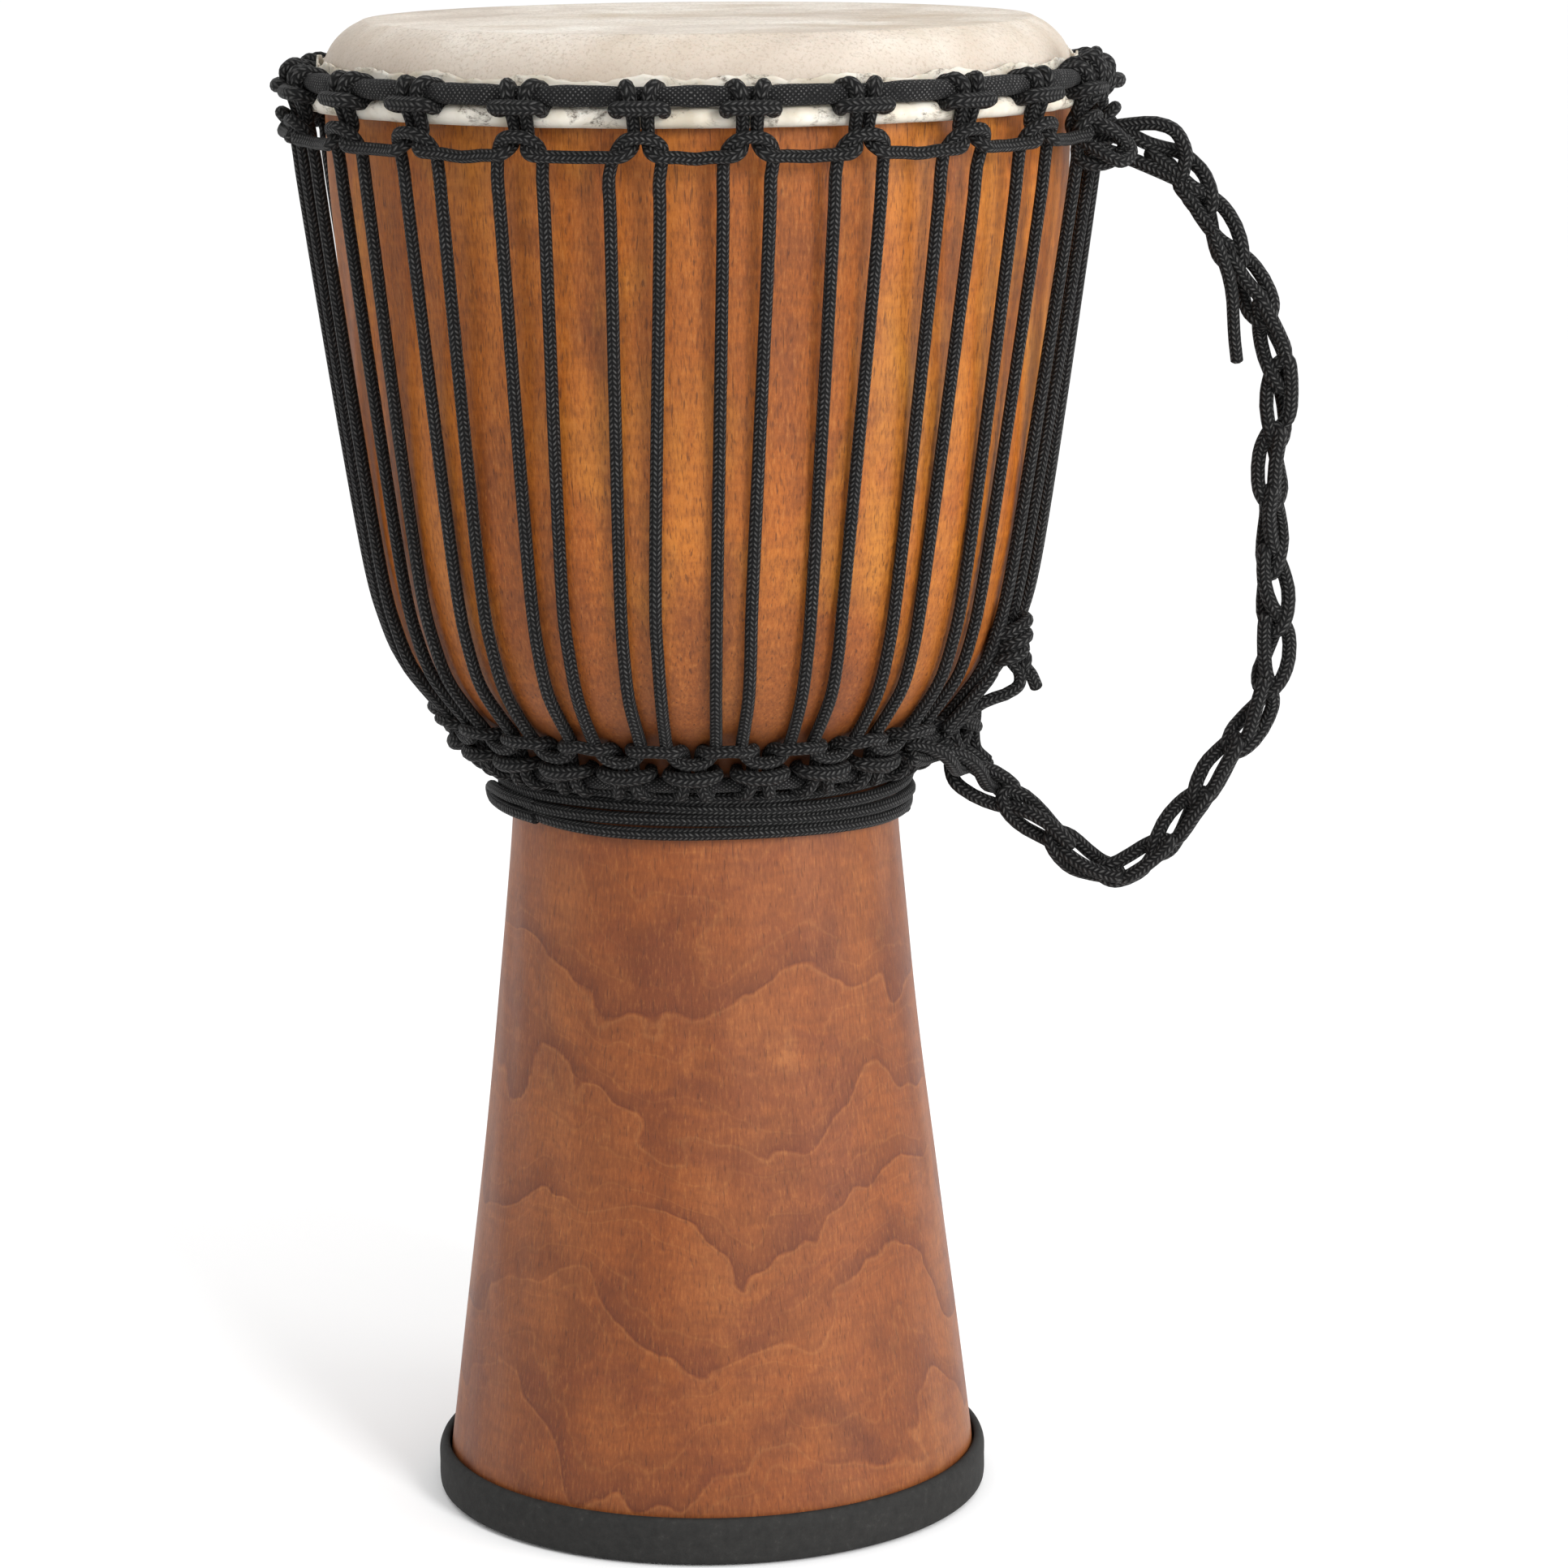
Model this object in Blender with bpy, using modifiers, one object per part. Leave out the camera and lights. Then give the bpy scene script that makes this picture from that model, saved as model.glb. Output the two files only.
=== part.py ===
"""Rope-tuned djembe: carved goblet shell, goatskin head folded round a flesh ring, wrapped
crown and bottom rings, rope cradles, tension rope, waist winding, knotted carry handle and
rubber foot. Metres, +Z up, foot on z = 0, handle towards +X."""

import bpy
from math import cos, degrees, hypot, pi, radians, sin
from mathutils import Matrix, Vector

# ---- driving dimensions -------------------------------------------------------------------
HEIGHT = 0.610
TURN_STEPS = 40
ROPE_GAP = 0.0008

SKIN_THICK = 0.0009
SKIN_OUTER = [
    (0.0, 0.6100), (0.1340, 0.6100), (0.1394, 0.6071), (0.1433, 0.6039), (0.1460, 0.6007),
    (0.1478, 0.5975), (0.1491, 0.5942), (0.1505, 0.5880),
]
FLESH_R, FLESH_Z, FLESH_WIRE = 0.1555, 0.5805, 0.0027
FOLD_RADIUS = 0.00365

SHELL_OUTER = [
    (0.1494, 0.5880), (0.1489, 0.5522), (0.1466, 0.5230), (0.1443, 0.5000), (0.1425, 0.4700),
    (0.1362, 0.4150), (0.1320, 0.3920), (0.1262, 0.3700), (0.1195, 0.3540), (0.1070, 0.3377),
    (0.0975, 0.3285), (0.0890, 0.3205), (0.0826, 0.3125), (0.0795, 0.3050), (0.0788, 0.2960),
    (0.0796, 0.2800), (0.0829, 0.2447), (0.0884, 0.1894), (0.0951, 0.1335), (0.1021, 0.0771),
    (0.1112, 0.0042),
]
SHELL_INNER = [
    (0.0985, 0.0042), (0.0880, 0.1000), (0.0750, 0.1850), (0.0655, 0.2450), (0.0608, 0.2850),
    (0.0615, 0.3080), (0.0700, 0.3300), (0.0870, 0.3500), (0.1060, 0.3750), (0.1190, 0.4150),
    (0.1275, 0.4700), (0.1330, 0.5350), (0.1315, 0.5900), (0.1290, 0.6030), (0.1310, 0.6072),
]

FOOT_R, FOOT_HEIGHT, FOOT_FLOOR_R, FOOT_SOLE = 0.1147, 0.0195, 0.0988, 0.0036

CROWN_R, CROWN_Z, CROWN_WIRE, CROWN_WRAP = 0.1595, 0.5886, 0.0024, 0.0035
BOTTOM_R, BOTTOM_Z, BOTTOM_WIRE, BOTTOM_WRAP = 0.0920, 0.3110, 0.0019, 0.0030
WRAP_THICK, SEAM_DEG = 0.00045, 24.0

ROPE = 0.0024
KNOTS = 23
FIRST_KNOT_DEG, PITCH_DEG = 6.8, 360.0 / KNOTS
BOTTOM_SHIFT_DEG = 6.9
STRAND = 0.0029

WAIST_R, WAIST_LOW, WAIST_TURNS, WAIST_PITCH = 0.0834, 0.2803, 4, 0.0052

HANDLE_RADIUS = 0.0066
HANDLE_DEG, TOP_TIE_DEG, LOW_TIE_DEG = 80.2, 77.2, 85.2
PIVOT_TOP, PIVOT_LOW = (0.1740, 0.5660), (0.1160, 0.3010)
HANDLE_ROUTE = [
    (0.1817, 0.5590), (0.1918, 0.5530), (0.2033, 0.5377), (0.2157, 0.5147), (0.2275, 0.4933),
    (0.2343, 0.4719), (0.2333, 0.4455), (0.2309, 0.4189), (0.2312, 0.3922), (0.2333, 0.3654),
    (0.2306, 0.3451), (0.2225, 0.3266), (0.2093, 0.3064), (0.1976, 0.2894), (0.1859, 0.2740),
    (0.1725, 0.2655), (0.1590, 0.2680), (0.1453, 0.2790), (0.1332, 0.2890), (0.1236, 0.2960),
]
TAIL_ROUTE = [
    (0.2080, 0.5250), (0.2116, 0.5170), (0.2143, 0.5090), (0.2158, 0.5010), (0.2163, 0.4930),
    (0.2168, 0.4850), (0.2178, 0.4765),
]

BLACK = (0.012, 0.012, 0.013)


# ---- helpers ------------------------------------------------------------------------------
def clear_scene():
    for item in list(bpy.data.objects):
        bpy.data.objects.remove(item, do_unlink=True)


def material(name, colour, roughness, metallic=0.0):
    mat = bpy.data.materials.new(name)
    mat.use_nodes = True
    shader = mat.node_tree.nodes["Principled BSDF"]
    shader.inputs["Base Color"].default_value = (*colour, 1.0)
    shader.inputs["Roughness"].default_value = roughness
    shader.inputs["Metallic"].default_value = metallic
    mat.diffuse_color = (*colour, 1.0)
    return mat


def part_collection():
    group = bpy.data.collections.new("djembe")
    bpy.context.scene.collection.children.link(group)
    return group


def place(name, data, mat, group):
    item = bpy.data.objects.new(name, data)
    data.materials.append(mat)
    group.objects.link(item)
    return item


def turned(name, profile, mat, group, closed=True):
    """A profile of (radius, height) swept round Z. It runs down the outside."""
    mesh = bpy.data.meshes.new(name)
    edges = [(i, i + 1) for i in range(len(profile) - 1)]
    if closed:
        edges.append((len(profile) - 1, 0))
    mesh.from_pydata([(r, 0.0, z) for r, z in profile], edges, [])
    item = place(name, mesh, mat, group)
    screw = item.modifiers.new("turn", "SCREW")
    screw.axis = "Z"
    screw.angle = 2 * pi
    screw.steps = screw.render_steps = TURN_STEPS
    screw.use_merge_vertices = True
    screw.merge_threshold = 0.00001
    screw.use_smooth_shade = True
    return item


def tube(name, points, radius, mat, group, cyclic=False, detail=1):
    """A plain round rope along the points."""
    curve = bpy.data.curves.new(name, "CURVE")
    curve.dimensions = "3D"
    curve.bevel_depth = radius
    curve.bevel_resolution = detail
    curve.use_fill_caps = True
    spline = curve.splines.new("POLY")
    spline.points.add(len(points) - 1)
    for spot, (x, y, z) in zip(spline.points, points):
        spot.co = (x, y, z, 1.0)
    spline.use_cyclic_u = cyclic
    return place(name, curve, mat, group)


def round_point(deg, r, z):
    """A point at an azimuth measured from the front towards +X."""
    a = radians(deg)
    return (r * sin(a), -r * cos(a), z)


def beside(deg, s, r, z):
    """A point s metres along the rim from the azimuth deg."""
    return round_point(deg + degrees(s / r), r, z)


def circle_profile(r, z, radius, count=8):
    return [
        (r + radius * cos(-2 * pi * i / count), z + radius * sin(-2 * pi * i / count))
        for i in range(count)
    ]


def wrap_profile(r, z, radius, thick, count=5):
    """A C-shaped section: cloth tape round a ring, its seam open towards the shell."""
    half = SEAM_DEG / 2
    turns = [180.0 - half - (360.0 - SEAM_DEG) * i / count for i in range(count + 1)]
    outside = [(r + radius * cos(radians(t)), z + radius * sin(radians(t))) for t in turns]
    inner = radius - thick
    inside = [(r + inner * cos(radians(t)), z + inner * sin(radians(t))) for t in turns]
    return outside + inside[::-1]


def offset(line, amount):
    """The line moved sideways; a positive amount goes to its left."""
    moved = []
    for i, (r, z) in enumerate(line):
        before, after = line[max(i - 1, 0)], line[min(i + 1, len(line) - 1)]
        dr, dz = after[0] - before[0], after[1] - before[1]
        size = hypot(dr, dz)
        moved.append((r - dz / size * amount, z + dr / size * amount))
    return moved


# ---- shell, skin, foot --------------------------------------------------------------------
def bearing_edge():
    """The wood under the skin, one skin and one gap inside its outer face."""
    under = offset(SKIN_OUTER[1:], -(SKIN_THICK + 0.0004))
    return [(0.1325, under[0][1])] + under[1:-1]


def build_shell(group):
    mat = material("shell_wood", (0.36, 0.135, 0.05), 0.42)
    turned("shell", bearing_edge() + SHELL_OUTER + SHELL_INNER, mat, group)


def skin_middle():
    """The middle line of the hide: over the rim, down, round the flesh ring and up."""
    line = offset(SKIN_OUTER, -SKIN_THICK / 2)
    line[0] = (0.0, line[0][1])
    turns = [200.0, 245.0, 290.0, 335.0, 380.0, 425.0]
    return line + [
        (FLESH_R + FOLD_RADIUS * cos(radians(t)), FLESH_Z + FOLD_RADIUS * sin(radians(t)))
        for t in turns
    ]


def build_skin(group):
    mat = material("goatskin", (0.78, 0.70, 0.60), 0.55)
    middle = skin_middle()
    top = offset(middle, SKIN_THICK / 2)
    low = offset(middle, -SKIN_THICK / 2)
    top[0], low[0] = (0.0, top[0][1]), (0.0, low[0][1])
    turned("drum_skin", top + low[::-1], mat, group, closed=False)


def build_foot(group):
    mat = material("foot_rubber", (0.02, 0.02, 0.021), 0.85)
    profile = [
        (0.1103, FOOT_HEIGHT), (0.1131, FOOT_HEIGHT), (FOOT_R, FOOT_HEIGHT - 0.0018),
        (FOOT_R, 0.0016), (FOOT_R - 0.0016, 0.0), (FOOT_FLOOR_R, 0.0),
        (FOOT_FLOOR_R, FOOT_SOLE), (0.1117, FOOT_SOLE),
    ]
    turned("rubber_foot", profile, mat, group)


# ---- rings --------------------------------------------------------------------------------
def build_rings(group):
    steel = material("flesh_steel", (0.42, 0.42, 0.43), 0.35, 1.0)
    turned("flesh_ring", circle_profile(FLESH_R, FLESH_Z, FLESH_WIRE, 6), steel, group)
    for name, r, z, wire, wrap in (
        ("crown_ring", CROWN_R, CROWN_Z, CROWN_WIRE, CROWN_WRAP),
        ("bottom_ring", BOTTOM_R, BOTTOM_Z, BOTTOM_WIRE, BOTTOM_WRAP),
    ):
        core = material(name + "_steel", (0.40, 0.40, 0.41), 0.38, 1.0)
        cloth = material(name + "_cloth", (0.018, 0.018, 0.02), 0.9)
        turned(name, circle_profile(r, z, wire, 6), core, group)
        turned(name + "_wrap", wrap_profile(r, z, wrap, WRAP_THICK), cloth, group)


# ---- ropes --------------------------------------------------------------------------------
def knot_angles():
    return [FIRST_KNOT_DEG + PITCH_DEG * i for i in range(KNOTS)]


def over_crown(deg, s, turn):
    reach = CROWN_WRAP + ROPE + ROPE_GAP
    t = radians(turn)
    return beside(deg, s, CROWN_R + reach * cos(t), CROWN_Z + reach * sin(t))


def under_bottom(deg, s, turn):
    reach = BOTTOM_WRAP + ROPE + ROPE_GAP + 0.0003
    t = radians(turn)
    return beside(deg, s, BOTTOM_R + reach * cos(t), BOTTOM_Z + reach * sin(t))


def top_hitch(deg):
    """Over the crown ring and back, legs passing down inside the tension rope's arch."""
    leg = [
        (0.0095, 0.1675, 0.5645), (0.0050, 0.1664, 0.5658), (0.0031, 0.1614, 0.5690),
        (STRAND, 0.1610, 0.5740), (STRAND, 0.1655, 0.5820),
    ]
    left = [beside(deg, -s, r, z) for s, r, z in leg]
    left += [over_crown(deg, -STRAND, t) for t in (22.0, 84.0, 148.0)]
    right = [over_crown(deg, STRAND, t) for t in (148.0, 84.0, 22.0)]
    right += [beside(deg, s, r, z) for s, r, z in leg[::-1]]
    return left + right


def bottom_hitch(deg):
    """Under the bottom ring and back, the mirror of the top hitch."""
    leg = [
        (0.0098, 0.1110, 0.3285), (0.0042, 0.1066, 0.3296), (0.0029, 0.0992, 0.3258),
        (STRAND, 0.0943, 0.3190),
    ]
    left = [beside(deg, -s, r, z) for s, r, z in leg]
    left += [under_bottom(deg, -STRAND, t) for t in (0.0, -72.0, -144.0)]
    right = [under_bottom(deg, STRAND, t) for t in (-144.0, -72.0, 0.0)]
    right += [beside(deg, s, r, z) for s, r, z in leg[::-1]]
    return left + right


def build_cradles(group):
    rope_top = material("top_cradle_cord", BLACK, 0.6)
    points = [p for deg in knot_angles() for p in top_hitch(deg)]
    tube("top_cradle_rope", points, ROPE, rope_top, group, cyclic=True)
    rope_low = material("bottom_cradle_cord", BLACK, 0.6)
    points = [p for deg in knot_angles() for p in bottom_hitch(deg + BOTTOM_SHIFT_DEG)]
    tube("bottom_cradle_rope", points, ROPE, rope_low, group, cyclic=True)


def top_arch(deg):
    side = [(0.0087, 0.1603, 0.5595), (0.0087, 0.1616, 0.5690), (0.0050, 0.1664, 0.5745)]
    left = [beside(deg, -s, r, z) for s, r, z in side]
    right = [beside(deg, s, r, z) for s, r, z in side[::-1]]
    return left + [round_point(deg, 0.1680, 0.5755)] + right


def bottom_arch(deg):
    side = [
        (0.0117, 0.1352, 0.3900), (0.0106, 0.1238, 0.3546), (0.0100, 0.1120, 0.3377),
        (0.0096, 0.1030, 0.3280), (0.0060, 0.1016, 0.3203),
    ]
    left = [beside(deg, -s, r, z) for s, r, z in side]
    right = [beside(deg, s, r, z) for s, r, z in side[::-1]]
    return left + [round_point(deg, 0.1014, 0.3183)] + right


def build_tension_rope(group):
    """One rope laced between the cradles, from the pull knot all the way round."""
    mat = material("tension_cord", BLACK, 0.6)
    first = [deg for deg in knot_angles() if abs(deg - 85.0) < 1.0][0]
    order = [first + PITCH_DEG * i for i in range(KNOTS)]
    points = bottom_arch(order[0] - PITCH_DEG + BOTTOM_SHIFT_DEG)[-4:][1:]
    for deg in order:
        points += top_arch(deg)
        points += bottom_arch(deg + BOTTOM_SHIFT_DEG)
    tube("tension_rope", points[:-6], ROPE, mat, group)


def build_waist(group):
    mat = material("waist_cord", BLACK, 0.6)
    per_turn = 20
    points = []
    for i in range(WAIST_TURNS * per_turn + 1):
        points.append(
            round_point(
                75.0 + 360.0 * i / per_turn, WAIST_R, WAIST_LOW + WAIST_PITCH * i / per_turn
            )
        )
    tube("waist_winding", points, ROPE, mat, group)


def coil(deg, r, low, turns, radius, pitch, per_turn=7):
    """A standing coil of rope, its axis upright at the azimuth deg."""
    cx, cy, _ = round_point(deg, r, 0.0)
    a = radians(deg)
    points = []
    for i in range(int(turns * per_turn) + 1):
        t = a - pi / 2 + 2 * pi * i / per_turn
        z = low + pitch * i / per_turn
        points.append((cx + radius * cos(t), cy + radius * sin(t), z))
    return points


def build_pull_knot(group):
    """Turns drawn round the last upright's end, with a short cut tail."""
    mat = material("pull_cord", BLACK, 0.6)
    deg, r = 68.0, 0.1353
    points = [beside(deg, 0.008, r, 0.3415), beside(deg, 0.005, r + 0.002, 0.3470)]
    points += coil(deg, r, 0.3530, 3.0, 0.0047, 0.0053)
    tube("pull_knot", points, ROPE, mat, group)


# ---- handle -------------------------------------------------------------------------------
def along_handle(route, side=0.0):
    a = radians(HANDLE_DEG)
    return [(x * sin(a) + side * cos(a), -x * cos(a) + side * sin(a), z) for x, z in route]


def handle_pivot(group):
    """An empty on the line through the two ties, its Z along that line: the handle swings about it."""
    low, top = along_handle([PIVOT_LOW, PIVOT_TOP])
    pivot = bpy.data.objects.new("handle_pivot", None)
    pivot.empty_display_size = 0.03
    pivot.location = low
    pivot.rotation_mode = "QUATERNION"
    pivot.rotation_quaternion = (Vector(top) - Vector(low)).to_track_quat("Z", "X")
    group.objects.link(pivot)
    return pivot


def hang_on(pivot, item):
    """Parents the item to the pivot and leaves it where it is."""
    turn = pivot.rotation_quaternion
    item.parent = pivot
    item.matrix_parent_inverse = Matrix.LocRotScale(pivot.location, turn, None).inverted()


def build_handle(group):
    chain = material("handle_cord", BLACK, 0.6)
    route = along_handle(HANDLE_ROUTE)
    handle = tube("carry_handle", route, HANDLE_RADIUS, chain, group, detail=2)
    end = material("tail_cord", BLACK, 0.6)
    tail = tube("handle_tail", along_handle(TAIL_ROUTE, -0.0105), ROPE, end, group)
    pivot = handle_pivot(group)
    hang_on(pivot, handle)
    hang_on(pivot, tail)


def build_top_tie(group):
    """Rope wrapped side by side over the crown ring, its end leading into the handle."""
    mat = material("top_tie_cord", BLACK, 0.6)
    points = [beside(TOP_TIE_DEG, 0.0081, 0.1668, 0.5765)]
    for i, s in enumerate((0.0081, 0.0027, -0.0027, -0.0081)):
        strand = [over_crown(TOP_TIE_DEG, s, t) for t in (10.0, 84.0, 148.0)]
        points += strand if i % 2 == 0 else strand[::-1]
        if i == 1:
            points.append(beside(TOP_TIE_DEG, 0.0027, 0.1675, 0.5800))
            points.append(beside(TOP_TIE_DEG, -0.0027, 0.1675, 0.5800))
    for s, r, z in (
        (-0.0081, 0.1690, 0.5790), (-0.0060, 0.1725, 0.5735), (0.0000, 0.1748, 0.5690),
        (0.0055, 0.1780, 0.5645),
    ):
        points.append(beside(TOP_TIE_DEG, s, r, z))
    tube("handle_top_tie", points, ROPE, mat, group)


def build_bottom_tie(group):
    """A small coil on the lower cradle where the handle is made fast."""
    mat = material("bottom_tie_cord", BLACK, 0.6)
    points = [beside(HANDLE_DEG, 0.0010, 0.1182, 0.2985), beside(HANDLE_DEG, 0.0052, 0.1160, 0.2972)]
    points += coil(LOW_TIE_DEG, 0.1085, 0.2995, 3.0, 0.0047, 0.0053)
    tube("handle_bottom_tie", points, ROPE, mat, group)


def main():
    clear_scene()
    group = part_collection()
    build_shell(group)
    build_skin(group)
    build_foot(group)
    build_rings(group)
    build_cradles(group)
    build_tension_rope(group)
    build_waist(group)
    build_pull_knot(group)
    build_handle(group)
    build_top_tie(group)
    build_bottom_tie(group)


main()
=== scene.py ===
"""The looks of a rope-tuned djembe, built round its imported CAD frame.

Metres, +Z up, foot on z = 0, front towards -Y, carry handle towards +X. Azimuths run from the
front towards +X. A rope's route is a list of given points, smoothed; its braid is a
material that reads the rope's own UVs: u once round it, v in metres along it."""

from math import cos, degrees, pi, radians, sin

import bmesh
import bpy
import numpy as np
from mathutils import Matrix, Vector


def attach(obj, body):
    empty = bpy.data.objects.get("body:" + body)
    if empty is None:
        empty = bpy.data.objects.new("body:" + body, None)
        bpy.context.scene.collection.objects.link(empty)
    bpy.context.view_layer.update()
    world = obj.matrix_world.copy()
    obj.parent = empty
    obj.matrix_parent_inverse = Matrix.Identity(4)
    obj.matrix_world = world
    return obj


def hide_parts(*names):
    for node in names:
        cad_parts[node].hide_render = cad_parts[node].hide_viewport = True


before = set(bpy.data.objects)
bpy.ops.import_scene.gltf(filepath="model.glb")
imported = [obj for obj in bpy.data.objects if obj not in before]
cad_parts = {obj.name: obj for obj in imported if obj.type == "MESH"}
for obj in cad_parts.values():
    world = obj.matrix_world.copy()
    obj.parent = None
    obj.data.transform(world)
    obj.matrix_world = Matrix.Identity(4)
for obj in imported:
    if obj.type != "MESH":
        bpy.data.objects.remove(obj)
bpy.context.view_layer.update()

SEED = 7
DRUM, HANDLE = "drum", "handle"

# ---- driving dimensions, the same as the CAD part's ----
SKIN_THICK = 0.0009
SKIN_OUTER = [
    (0.1340, 0.6100), (0.1394, 0.6071), (0.1433, 0.6039), (0.1460, 0.6007), (0.1478, 0.5975),
    (0.1491, 0.5942), (0.1505, 0.5880),
]
FLESH_R, FLESH_Z, FOLD_RADIUS = 0.1555, 0.5805, 0.00365
HEAD_EDGE_V, STRIP_V = 0.134, 0.165

BEARING_EDGE = [
    (0.1325, 0.6082), (0.1382, 0.6061), (0.1424, 0.6030), (0.1450, 0.5999), (0.1467, 0.5969),
    (0.1478, 0.5939),
]
SHELL_OUTER = [
    (0.1494, 0.5880), (0.1489, 0.5522), (0.1466, 0.5230), (0.1443, 0.5000), (0.1425, 0.4700),
    (0.1362, 0.4150), (0.1320, 0.3920), (0.1262, 0.3700), (0.1195, 0.3540), (0.1070, 0.3377),
    (0.0975, 0.3285), (0.0890, 0.3205), (0.0826, 0.3125), (0.0795, 0.3050), (0.0788, 0.2960),
    (0.0796, 0.2800), (0.0829, 0.2447), (0.0884, 0.1894), (0.0951, 0.1335), (0.1021, 0.0771),
    (0.1112, 0.0042),
]
SHELL_INNER = [
    (0.0985, 0.0042), (0.0880, 0.1000), (0.0750, 0.1850), (0.0655, 0.2450), (0.0608, 0.2850),
    (0.0615, 0.3080), (0.0700, 0.3300), (0.0870, 0.3500), (0.1060, 0.3750), (0.1190, 0.4150),
    (0.1275, 0.4700), (0.1330, 0.5350), (0.1315, 0.5900), (0.1290, 0.6030), (0.1310, 0.6072),
]
FOOT_R, FOOT_HEIGHT, FOOT_FLOOR_R, FOOT_SOLE = 0.1147, 0.0195, 0.0988, 0.0036

CROWN_R, CROWN_Z, CROWN_WRAP = 0.1595, 0.5886, 0.0035
BOTTOM_R, BOTTOM_Z, BOTTOM_WRAP, BOTTOM_ROD = 0.0902, 0.3148, 0.0030, 0.0024

KNOTS = 23
FIRST_KNOT_DEG, PITCH_DEG = 6.8, 360.0 / KNOTS
BOTTOM_SHIFT_DEG = 6.9
# Rope radii: the lacing, the handle chain, its tail, the handle ties and the pull knot.
ROPE, CHAIN_ROPE, TAIL_ROPE, TIE_ROPE, PULL_ROPE = 0.0025, 0.0029, 0.0026, 0.0027, 0.00265
TURNS_R, WAIST_TURNS = 0.0834, 4

HANDLE_DEG, TOP_TIE_DEG, LOW_TIE_DEG, PULL_DEG = 80.2, 71.5, 82.0, 68.0
# The pair of uprights that the top tie pushes aside, and how far, in degrees and metres.
TIED_PAIR, TIED_SHIFT_DEG, TIED_SPREAD = 4, 3.0, 0.0020
# How far the tail and the loose loop lie off the handle plane, towards the front.
TAIL_SIDE, LOOP_SIDE = -0.0105, -0.0045
# Lines in the handle's plane, as (distance from the drum's axis, height).
HANDLE_ROUTE = [
    (0.1817, 0.5590), (0.1918, 0.5530), (0.2033, 0.5377), (0.2157, 0.5147), (0.2275, 0.4933),
    (0.2343, 0.4719), (0.2333, 0.4455), (0.2309, 0.4189), (0.2312, 0.3922), (0.2333, 0.3654),
    (0.2306, 0.3451), (0.2225, 0.3266), (0.2093, 0.3064), (0.1976, 0.2894), (0.1859, 0.2740),
    (0.1725, 0.2655), (0.1590, 0.2680), (0.1453, 0.2790), (0.1332, 0.2890), (0.1236, 0.2960),
]
TAIL_ROUTE = [
    (0.2080, 0.5250), (0.2116, 0.5170), (0.2143, 0.5090), (0.2158, 0.5010), (0.2163, 0.4930),
    (0.2168, 0.4850), (0.2178, 0.4765),
]
TOP_LOOP = [
    (0.1966, 0.5452), (0.1905, 0.5482), (0.1835, 0.5512), (0.1765, 0.5541), (0.1700, 0.5566),
    (0.1642, 0.5584), (0.1602, 0.5616), (0.1628, 0.5656), (0.1690, 0.5676), (0.1751, 0.5684),
    (0.1849, 0.5688), (0.1922, 0.5658), (0.1964, 0.5574), (0.1954, 0.5500), (0.1940, 0.5446),
    (0.1975, 0.5400),
]
CHAIN_STITCH, CHAIN_HALF_WIDTH, CHAIN_HALF_DEPTH = 0.0262, 0.0050, 0.0040
STRANDS_APART = 0.0030

# ---- camera and studio ----
CAMERA_PLACE = (0.03238, -2.07144, 0.70846)
CAMERA_PITCH, CAMERA_ROLL = 0.19601, -0.00753
CAMERA_LENS = 117.79
FLOOR_HALF, FLOOR_DROP = 60.0, 0.0005
WORLD_STRENGTH = 1.05
LIGHTS = [
    ("key", (1.2, -2.0, 1.35), (0.0, 0.0, 0.35), (0.55, 0.8), 40.0),
    ("side", (2.1, -0.8, 0.55), (0.0, 0.0, 0.30), (0.9, 1.0), 15.0),
]


# ---- how fine the looks are ----
# Stitches round a rope or a tape and their length along it, and the wood's lines per metre.
BRAID_COLUMNS, BRAID_PITCH = 8.0, 0.0021
TAPE_COLUMNS, TAPE_PITCH, TAPE_LAP = 12.0, 0.0021, 0.019
RINGS_PER_METRE, FINE_PER_METRE, SILK_PER_METRE = 19.5, 71.0, 39.0
SHELL_STEPS, SKIN_STEPS, FOOT_STEPS = 288, 480, 240
# The skin's rows counted from the edge of its flat part to the fold, and the rows of its lip.
ROWS_TO_FOLD, LIP_ROWS = 18, 9


# ---- places ----
def round_point(deg, r, z, size=1.0):
    a = radians(deg)
    return (r * sin(a), -r * cos(a), z, size)


def beside(deg, s, r, z, size=1.0):
    """A point s metres along the rim from the azimuth deg."""
    return round_point(deg + degrees(s / r), r, z, size)


def on_ring(ring, deg, s, turn, reach, size=1.0):
    """A point round the section of a ring given as (radius, height)."""
    t = radians(turn)
    return beside(deg, s, ring[0] + reach * cos(t), ring[1] + reach * sin(t), size)


CROWN, BOTTOM = (CROWN_R, CROWN_Z), (BOTTOM_R, BOTTOM_Z)


def knot_wobble(i):
    """How far a hand-tied knot sits from its even place, in degrees."""
    j = i if i <= KNOTS // 2 else i - KNOTS
    quick = -0.58 * sin(1.9 * j) - 0.50 * cos(1.9 * j) - 0.38
    slow = 0.7 + 1.07 * cos(0.45 * j) - 1.56 * sin(0.45 * j) + 2.0 * sin(0.25 * j)
    return quick + slow * (0.5 + 0.5 * cos(radians(PITCH_DEG * j)))


def top_deg(i):
    return FIRST_KNOT_DEG + PITCH_DEG * i + knot_wobble(i)


def upright_deg(i):
    """The middle of a pair of uprights, which hang a little straighter than the knots sit."""
    return FIRST_KNOT_DEG + PITCH_DEG * i + 0.45 * knot_wobble(i) + 0.1


def bottom_deg(i):
    lean = 1.2 * max(0.0, sin(radians(upright_deg(i)))) ** 2
    return FIRST_KNOT_DEG + PITCH_DEG * i + BOTTOM_SHIFT_DEG - lean


# ---- lines and meshes ----
def circle(r, z, count):
    """Azimuths in radians, and the points of a level circle round the drum's axis."""
    a = 2 * pi * np.arange(count) / count
    return a, np.stack([r * np.sin(a), -r * np.cos(a), z + 0 * a, 1.0 + 0 * a], axis=1)


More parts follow.
